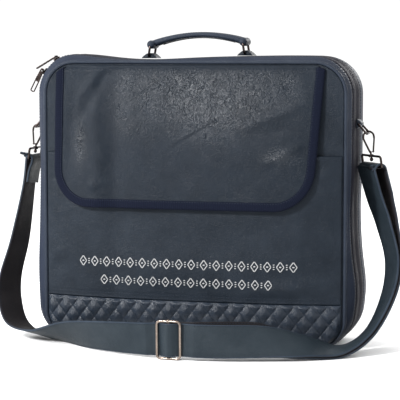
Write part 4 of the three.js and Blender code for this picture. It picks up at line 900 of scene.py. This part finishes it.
def make_handle():
    ends = []
    tilt = math.radians(HANDLE_TILT)
    rise = HANDLE_RING_H - HANDLE_WIRE
    for side, word in SIDES:
        foot = vec(side * HANDLE_SPAN / 2, HARD_Y, HANDLE_FEET[side])
        low = foot + Z_AXIS * (GAP + HANDLE_WIRE / 2 + 0.6)
        lean = vec(-side * math.sin(tilt), 0, math.cos(tilt))
        loop = rounded_loop(low + lean * rise / 2, Y_AXIS, lean, HANDLE_RING_W - HANDLE_WIRE, rise, 3)
        piece(f"handle_link_{word}", [wire(loop, HANDLE_WIRE, np.cross(Y_AXIS, lean))], [DARK_METAL],
              [f"handle_ring_{word}"])
        piece(f"handle_mound_{word}", mound(foot, X_AXIS, Z_AXIS, 19, 6.0, 20.8), [LEATHER_M, THREAD_M],
              [f"handle_tab_{word}"])
        ends.append(low + lean * rise)
    t = np.linspace(0, 1, 61)
    arch = np.sin(t * math.pi) ** 0.8
    spine = [mix(*ends, s) + Z_AXIS * a * HANDLE_ARCH for s, a in zip(t, arch)]
    thick = GRIP_T * mix(0.95, 0.76, arch) / 2
    wide = HANDLE_RING_W - HANDLE_WIRE * 2 - 3
    turn = (np.arange(24) + 0.5) / 24 * 2 * math.pi
    squared = lambda v, power: np.sign(v) * np.abs(v) ** power
    sections = []
    for s, a, c, h in zip(t, arch, spine, thick):
        up = squared(np.sin(turn), 0.9) * h
        across = squared(np.cos(turn), 0.8) * wide * mix(0.9, 1, a) / 2
        sections.append(np.stack([c[0] - up * math.cos(s * math.pi) * 0.35, c[1] + across, c[2] + up], -1))
    shapes = [loft(sections) + (0,)]
    for e in ends:
        shapes.append(pin(e, Y_AXIS * (wide / 2 - 0.8), 5.1, X_AXIS, 20) + (0,))
    under = np.array([s[18] - Z_AXIS * 0.1 for s in sections[6:-6]])
    shapes.append(rod(even(under, 2), 0.7, sides=8) + (0,))
    for y in (-1, 1):
        path = [spine[k] + vec(0, y * wide * 0.26, thick[k] * 0.9) for k in range(5, len(t) - 5)]
        shapes.append(stitch_row(path, Z_AXIS, 3.2, 2.3, 0.36) + (1,))
    piece("handle_leather", shapes, [PIPE_M, THREAD_M], ["handle_grip"])


# Side hardware
def side_place(side, z):
    return side * (BODY_W / 2 + sum(bump(z / BODY_H - l, s) * r * BODY_W for d, l, s, r in SIDE_WAVES if d == side))


def side_frame(side, word):
    """Where a side's ring, hook and strap loop stand, and their directions."""
    level = TAB_LEVEL + (TAB_STEP if side < 0 else 0)
    wall = side_place(side, level) + side * (0.72 + GAP)
    inner = vec(wall + side * (SIDE_WIRE / 2 + GAP + 0.8), HARD_Y, level)
    a, h = math.radians(SIDE_SLOPE), math.radians(HOOK_TILT)
    slope = vec(side * math.cos(a), 0, -math.sin(a))
    reach = SIDE_RING_H - SIDE_WIRE
    down = vec(side * math.sin(h), 0, -math.cos(h))
    across = vec(side * math.cos(h), 0, math.sin(h))
    crown = inner + slope * reach - down * (SIDE_WIRE / 2 + HOOK_WIRE / 2 + GAP)
    at = lambda d, s=0: crown + down * d + across * s
    collar = HOOK_LENGTH + COLLAR_H + GAP
    swing = math.radians(LOOP_SWING if side > 0 else 0)
    return dict(side=side, word=word, base=vec(wall, HARD_Y, level), inner=inner, slope=slope, reach=reach, down=down,
                across=across, at=at, collar=collar, bar_along=vec(math.sin(swing), math.cos(swing), 0),
                bar=at(collar + LOOP_H))


def make_side(f):
    word, side, at, down, collar = (f[key] for key in ("word", "side", "at", "down", "collar"))
    piece(f"side_mound_{word}", mound(f["base"], -side * Z_AXIS, side * X_AXIS, 11, 6.0, 16), [PIPE_M, THREAD_M],
          [f"side_tab_{word}"])
    middle = f["inner"] + f["slope"] * f["reach"] / 2
    loop = rounded_loop(middle, Y_AXIS, f["slope"], SIDE_RING_W - SIDE_WIRE, f["reach"], 2)
    piece(f"side_link_{word}", [wire(loop, SIDE_WIRE, np.cross(Y_AXIS, f["slope"]))], [DARK_METAL],
          [f"side_ring_{word}"])

    bow, ball = (HOOK_WIDTH - HOOK_WIRE) / 2, at(collar + COLLAR_H + GAP + 2.3)
    path = [at(bow * 1.35, bow)]
    path += [at(bow * (1 - math.sin(t)), bow * math.cos(t)) for t in np.linspace(0, math.pi, 13)]
    path += [at(bow * 1.5, -bow * 0.98), at(HOOK_LENGTH * 0.86, -bow * 0.2), at(HOOK_LENGTH * 0.95), ball]
    shapes = [rod(rounded_path(path, 4), HOOK_WIRE / 2 + WIRE_EXTRA), pin(ball, down * 0.3, 2.1, Y_AXIS, 16),
              pin(at(24.6), Y_AXIS * 0.9, 1.5, X_AXIS, 14)]
    piece(f"snap_hook_{word}", shapes, [DARK_METAL], [f"hook_{word}"], f"hook_{word}")

    pivot = at(HOOK_LENGTH * 0.9, bow * 0.52)
    a = math.radians(GATE_TILT)
    length = (HOOK_LENGTH * 0.9 - bow * 1.35 - GAP) / math.cos(a)
    along = -down * math.cos(a) + f["across"] * math.sin(a)
    path = [pivot, pivot + along * length * 0.5, pivot + along * (length - 0.6)]
    shapes = [rod(path, GATE_WIRE / 2 + WIRE_EXTRA), pin(pivot, Y_AXIS * 0.7, 1.25, X_AXIS, 14)]
    piece(f"snap_gate_{word}", shapes, [DARK_METAL], [f"hook_gate_{word}"], f"gate_{word}")

    loop = rounded_loop(at(collar + LOOP_DROP), f["bar_along"], down, LOOP_W - LOOP_WIRE, LOOP_H, 2)
    turn = np.arange(24) / 24 * 2 * math.pi
    ring = [[at(collar + h) + f["across"] * math.cos(t) * r + Y_AXIS * math.sin(t) * r for t in turn]
            for r, h in ((1.6, -1.5), (2.7, -1.6), (3.1, -1.2), (3.1, 1.2), (2.7, 1.6), (1.6, 1.5))]
    shapes = [wire(loop, LOOP_WIRE, np.cross(f["bar_along"], down)), loft(np.array(ring).transpose(1, 0, 2), True)]
    piece(f"strap_loop_{word}", shapes, [DARK_METAL], [f"hook_loop_{word}"])


# Shoulder strap, 19 places: shares of the body's width, depth and height, then how far it leans and turns, in degrees
ROUTE = [
    (-1.134, -0.05, 0.528, 0, 1), (-1.180, -0.13, 0.344, 0, 15), (-1.228, -0.23, 0.210, 0, 22),
    (-1.215, -0.33, 0.120, 2, 25), (-1.135, -0.47, 0.046, 6, 22), (-0.935, -0.74, 0.024, 20, 8),
    (-0.700, -1.02, 0.046, 48, 0), (-0.490, -1.27, 0.057, 66, 0), (-0.230, -1.47, 0.064, 80, 0),
    (0.020, -1.56, 0.067, 90, 0), (0.250, -1.52, 0.066, 97, 0), (0.540, -1.34, 0.060, 118, 0),
    (0.790, -1.08, 0.036, 156, 0), (0.985, -0.76, 0.024, 176, -6), (1.125, -0.50, 0.075, 180, -15),
    (1.218, -0.30, 0.190, 180, -25), (1.240, -0.19, 0.308, 180, -32), (1.178, -0.09, 0.432, 180, -36),
    (1.120, -0.04, 0.516, 180, -39),
]
# The second layer: row of the route, gap as a share of the fold's width, rise as a share of the strap's
RETURN_GAP = np.array([(9, 0.26, 0), (10, 0.42, 0.08), (11, 0.60, 0.17), (12, 0.32, 0.06), (13, 0.24, 0),
                       (14, 0.24, 0), (15, 0.24, 0), (16, 0.30, 0), (17, 0.62, 0), (18, 0.92, 0)])


def framed(place, across):
    along = unit(np.gradient(place, axis=0))
    face = unit(np.cross(along, across))
    return along, unit(np.cross(face, along)), face


def return_gap(row):
    station, gap = RETURN_GAP[:, 0], RETURN_GAP[:, 1]
    return smooth_table(station, gap, np.clip(row, station[0], station[-1])) * FOLD_W


def strap_path(left, right):
    """Places, width directions and faces along the whole strap, and the slider's frame."""
    rest = LOOP_WIRE / 2 + SLACK + STRAP_T / 2

    def fold_over(bar, radius, outward, start, stop, steps):
        centre = bar + Z_AXIS * (rest - radius)
        return [centre + outward * math.cos(a) * radius + Z_AXIS * math.sin(a) * radius
                for a in np.radians(np.linspace(start, stop, steps + 1))]

    # One layer: the tail, over the left loop, the route, and up to the right loop
    wrap = fold_over(left["bar"], rest, -X_AXIS, 180, 0, 5)
    rows = [vec(x * BODY_W / 2, y * BODY_D, z * BODY_H) for x, y, z, _, _ in ROUTE]
    down = unit(rows[0] - wrap[-1])
    tail = [wrap[-1] + down * STRAP_W * l + X_AXIS * STRAP_T * b for l, b in ((0.8, 1.24), (0.4, 1.5), (0.14, 2.3))]
    swing = math.radians(LOOP_SWING)
    out = vec(math.cos(swing), -math.sin(swing), 0)
    rising = fold_over(right["bar"], FOLD_W / 2, out, 180, 90, 4)
    first = len(tail) + len(wrap)
    wide = [-left["bar_along"]] * first
    for _, _, _, lean, turn in ROUTE:
        l, w = math.radians(lean), math.radians(turn)
        wide.append(vec(-math.sin(w) * math.cos(l), -math.cos(w) * math.cos(l), math.sin(l)))
    wide += [right["bar_along"]] * len(rising)
    steps = 12
    place = rounded_path(np.array(tail + wrap + rows + rising), steps)
    across = unit(rounded_path(np.array(wide), steps))
    row = np.arange(len(place)) / steps - first

    # It lies on the floor, and never below it
    along, across, face = framed(place, across)
    gaps = np.where(row < SLIDER_ROW, 0, return_gap(row))
    below = np.abs(across[:, 2]) * STRAP_W / 2 + np.abs(face[:, 2]) * STRAP_T / 2
    lack = below + np.maximum(0, face[:, 2]) * gaps + GAP - place[:, 2]
    place[:, 2] += np.convolve(np.pad(np.maximum(0, lack), 6, "edge"), np.ones(13) / 13, "valid")
    along, across, face = framed(place, across)

    # It passes over the slider's middle bar and under its two sides
    middle = (first + SLIDER_ROW) * steps
    slider = dict(place=place[middle].copy(), along=along[middle], across=across[middle], face=face[middle])
    half = (SLIDER_W - SLIDER_WIRE) / 2
    off = (place - slider["place"]) @ slider["along"]
    calm = 1 - ease(half * 1.2, half * 2.2, np.abs(off))
    wave = np.cos(np.minimum(1, np.abs(off) / half) * math.pi) * calm * (np.abs(row - SLIDER_ROW) < 2)
    place = place + slider["face"] * (wave * (SLIDER_WIRE / 2 + STRAP_T / 2 + GAP * 1.5))[:, None]

    # Finer samples there
    idx = np.arange(len(place), dtype=float)
    near, close = idx[(row > 7.4) & (row < 10.6)], idx[(row > 8.2) & (row < 9.8)]
    fine = np.sort(np.concatenate([idx, near + 0.5, close + 0.25, close + 0.75]))
    place, across, row = sampled(fine, idx, place), unit(sampled(fine, idx, across)), np.interp(fine, idx, row)
    along, across, face = framed(place, across)

    # Over the right loop, and back to the slider as a second layer
    past = (place - slider["place"]) @ slider["along"] > 1.95
    keep = (row <= RETURN_GAP[-1, 0]) & (row > SLIDER_ROW) & past
    rises = np.interp(row, RETURN_GAP[:, 0], RETURN_GAP[:, 2]) * STRAP_W
    second = (place - face * return_gap(row)[:, None] + across * rises[:, None])[keep][::-1]
    over = np.array(fold_over(right["bar"], FOLD_W / 2, out, 82, 2, 8))
    turned = np.vstack([place[-1:], over, second[:1]])
    _, across_over, face_over = framed(turned, np.repeat([right["bar_along"]], len(turned), 0))
    place = np.vstack([place, over, second])
    across = np.vstack([across, across_over[1:-1], across[keep][::-1]])
    return place, across, np.vstack([face, face_over[1:-1], -face[keep][::-1]]), slider


def make_strap(left, right):
    place, across, face, slider = strap_path(left, right)
    half_section = [(0, 1.0), (0.3, 1.0), (0.6, 0.97), (0.855, 0.95), (0.885, 0.86), (0.915, 0.9), (0.945, 1.0),
                    (0.975, 0.96), (0.995, 0.75), (1, 0.35)]
    over = [(-w, h) for w, h in half_section[:0:-1]] + half_section
    profile = over + [(w, -h * 0.95) for w, h in over[::-1]]
    thin, half = STRAP_T / 2, STRAP_W / 2
    points, faces = loft(np.stack([place + across * (w * half) + face * (h * thin) for w, h in profile], 1))
    # Leather above; below, a darker, browner copy of the strap leather that paints the shade its underside lies in;
    # and painted edges
    top, n = len(over), len(profile)
    ring = [2 if abs(over[k][0] + over[k + 1][0]) / 2 > 0.95 else 0 for k in range(top - 1)]
    ring += [2] + [1] * (n - top - 1) + [2]
    shapes = [(points, faces, ring * (len(place) - 1) + [2] * (2 * n))]
    for w in (-0.9, 0.9):
        for up in (1, -1):
            path = place + across * w * half + face * up * thin * 0.86
            shapes.append(stitch_row(path, face * up, 3.6, 2.6, 0.36) + (3,))
    piece("strap_leather", shapes, [STRAP_M, UNDERSIDE_SHADE_M, EDGE_M, THREAD_M], ["shoulder_strap"])

    middle, along, upward = slider["place"], slider["along"], slider["across"]
    tall = SLIDER_H - SLIDER_WIRE
    ring = rounded_loop(middle, along, upward, SLIDER_W - SLIDER_WIRE, tall, 4)
    shapes = [rod(ring, SLIDER_WIRE / 2, True, np.cross(along, upward), 14)]
    shapes.append(pin(middle, upward * tall / 2, 1.4, along))
    for end in (-1, 1):
        shapes.append(pin(middle + upward * end * tall / 2, upward * 0.7, 1.95, along, 16))
    piece("slider_buckle", shapes, [PALE_METAL], ["strap_slider"])


# Zip sliders and pulls: name, degrees round the corner and of the pull, shift along Y, and how the pull lies
RUNNERS = (("upper", 120, 210, 1.6, "flat"), ("lower", 146, 243, -4.1, "edge"))
RUNNER_BODY = ((0.05, 0.9, 0.85), (0.4, 1.0, 1.0), (0.9, 1.0, 1.0), (1.3, 0.95, 0.6), (2.2, 0.95, 0.6),
               (2.6, 1.0, 1.0), (3.1, 0.96, 0.96), (3.4, 0.8, 0.8))
PULL_OUTLINE = ((-1.4, 1.4), (1.6, 1.7), (12, 2.4), (21, 2.8), (25, 3.0), (28.2, 2.3), (28.9, 1.2))
PLATE_SECTION = ((-1, -0.6), (-0.8, -1), (0.8, -1), (1, -0.6), (1, 0.6), (0.8, 1), (-0.8, 1), (-1, 0.6))


def make_zip():
    mid_y = (ZIP_A + ZIP_B) / 2
    corner = vec(-(BODY_W / 2 - TOP_R), mid_y, BODY_H - TOP_R)
    rounded = lambda v: np.sign(v) * abs(v) ** 0.55
    for word, place, pull_turn, shift, way in RUNNERS:
        flat = way == "flat"
        a, b = math.radians(place), math.radians(pull_turn)
        out, along = vec(math.cos(a), 0, math.sin(a)), vec(-math.sin(a), 0, math.cos(a))
        lift = wave_lift(corner[0] + out[0] * TOP_R)
        foot = corner + out * (TOP_R - 1.6 + 0.6 + GAP) + Z_AXIS * lift * max(0, out[2])
        sections = []
        for rise, long, wide in RUNNER_BODY:
            section = []
            for t in np.arange(28) / 28 * 2 * math.pi:
                x = rounded(math.cos(t)) * 4.5 * long
                y = rounded(math.sin(t)) * 2.65 * wide * (1 - 0.12 * (x / 4.5))
                section.append(foot + along * x + Y_AXIS * y + out * rise)
            sections.append(section)
        bail = foot + out * 5.3 + Y_AXIS * shift
        wide = (5 if flat else 1.8) / 2 + GAP + 0.6
        half_arch = ((shift - wide, 3.0), (-wide, 0.4), (0.9 - wide, 0.75), (wide - 0.9, 0.75), (wide, 0.4),
                     (shift + wide, 3.0))
        arch = [(foot if k in (0, 5) else bail) + Y_AXIS * y + out * o for k, (y, o) in enumerate(half_arch)]
        for foot_point in (arch[0], arch[-1]):
            foot_point[1] = np.clip(foot_point[1], mid_y - 2.4, mid_y + 2.4)
        shapes = [loft(sections), rod(rounded_path(arch, 5), 0.62, guide=along)]
        shapes.append(pin(bail, Y_AXIS * wide, 0.6, X_AXIS))
        piece(f"zip_runner_{word}", shapes, [DARK_METAL], [f"zip_slider_{word}"])

        reach, lie = vec(math.cos(b), 0, math.sin(b)), vec(-math.sin(b), 0, math.cos(b))
        widthwise, thickwise = (Y_AXIS, lie) if flat else (lie, Y_AXIS)
        limit = 2.5 if flat else 3.0
        half = np.array(PULL_OUTLINE)
        loop = np.vstack([half, (half * [1, -1])[::-1]])
        loop[:, 1] = np.clip(loop[:, 1], -limit + 0.7, limit - 0.7)
        frame_path = even(bail + reach * loop[:, :1] + widthwise * loop[:, 1:], 1.2, True)
        t = np.linspace(1.6, 15.5, 9)
        wides = np.interp(t, [0, 12, 21], [1.5, 2.2, 2.6]).clip(0, limit - 0.6)
        plate = [[bail + reach * far + widthwise * (wide * c) + thickwise * (0.62 * s) for c, s in PLATE_SECTION]
                 for far, wide in zip(t, wides)]
        piece(f"zip_puller_{word}", [rod(frame_path, 0.85, True, thickwise, 10, 0.95), loft(plate)], [DARK_METAL],
              [f"zip_pull_{word}"], f"pull_{word}")


make_body()
make_pocket()
make_quilt()
make_flap()
make_ornament()
make_handle()
left_frame, right_frame = (side_frame(*names) for names in SIDES)
make_side(left_frame)
make_side(right_frame)
make_strap(left_frame, right_frame)
make_zip()

# Floor, light and camera
floor_data = bpy.data.meshes.new("floor")
floor_data.from_pydata([(-6, -6, 0), (6, -6, 0), (6, 6, 0), (-6, 6, 0)], [], [(0, 1, 2, 3)])
floor = bpy.data.objects.new("floor", floor_data)
scene.collection.objects.link(floor)
floor_m, _, _ = new_material("floor_pale", (0.94, 0.94, 0.94), 0.9, specular=0.0)
floor_data.materials.append(floor_m)


def area_light(name, place, target, size, power):
    data = bpy.data.lights.new(name, "AREA")
    data.shape, data.size, data.energy = "DISK", size, power
    lamp = bpy.data.objects.new(name, data)
    scene.collection.objects.link(lamp)
    d = unit(vec(*target) - vec(*place))
    lamp.location = place
    lamp.rotation_euler = (math.acos(-d[2]), 0, math.atan2(-d[0], d[1]))


area_light("key", (-0.95, -1.7, 1.15), (0, 0, 0.22), 0.4, 62)
area_light("side", (-1.9, -0.6, 1.1), (0, 0, 0.2), 0.5, 30)
area_light("top", (0.2, 0.0, 2.0), (0, 0, 0.3), 0.8, 10)
area_light("back", (0.9, 2.0, 1.1), (0, 0, 0.2), 0.8, 22)
world = bpy.data.worlds.new("studio")
scene.world = world
world.use_nodes = True
world.node_tree.nodes["Background"].inputs["Color"].default_value = (1, 1, 1, 1)
world.node_tree.nodes["Background"].inputs["Strength"].default_value = 1.08
scene.view_settings.view_transform = "Standard"

camera_data = bpy.data.cameras.new("camera")
camera_data.sensor_width = 36
camera_data.lens = 148.68
camera = bpy.data.objects.new("camera", camera_data)
camera.location = (0.5217, -1.9318, 0.3543)
camera.rotation_euler = (math.radians(90 - 5.27), 0, math.radians(15.08))
scene.collection.objects.link(camera)
scene.camera = camera
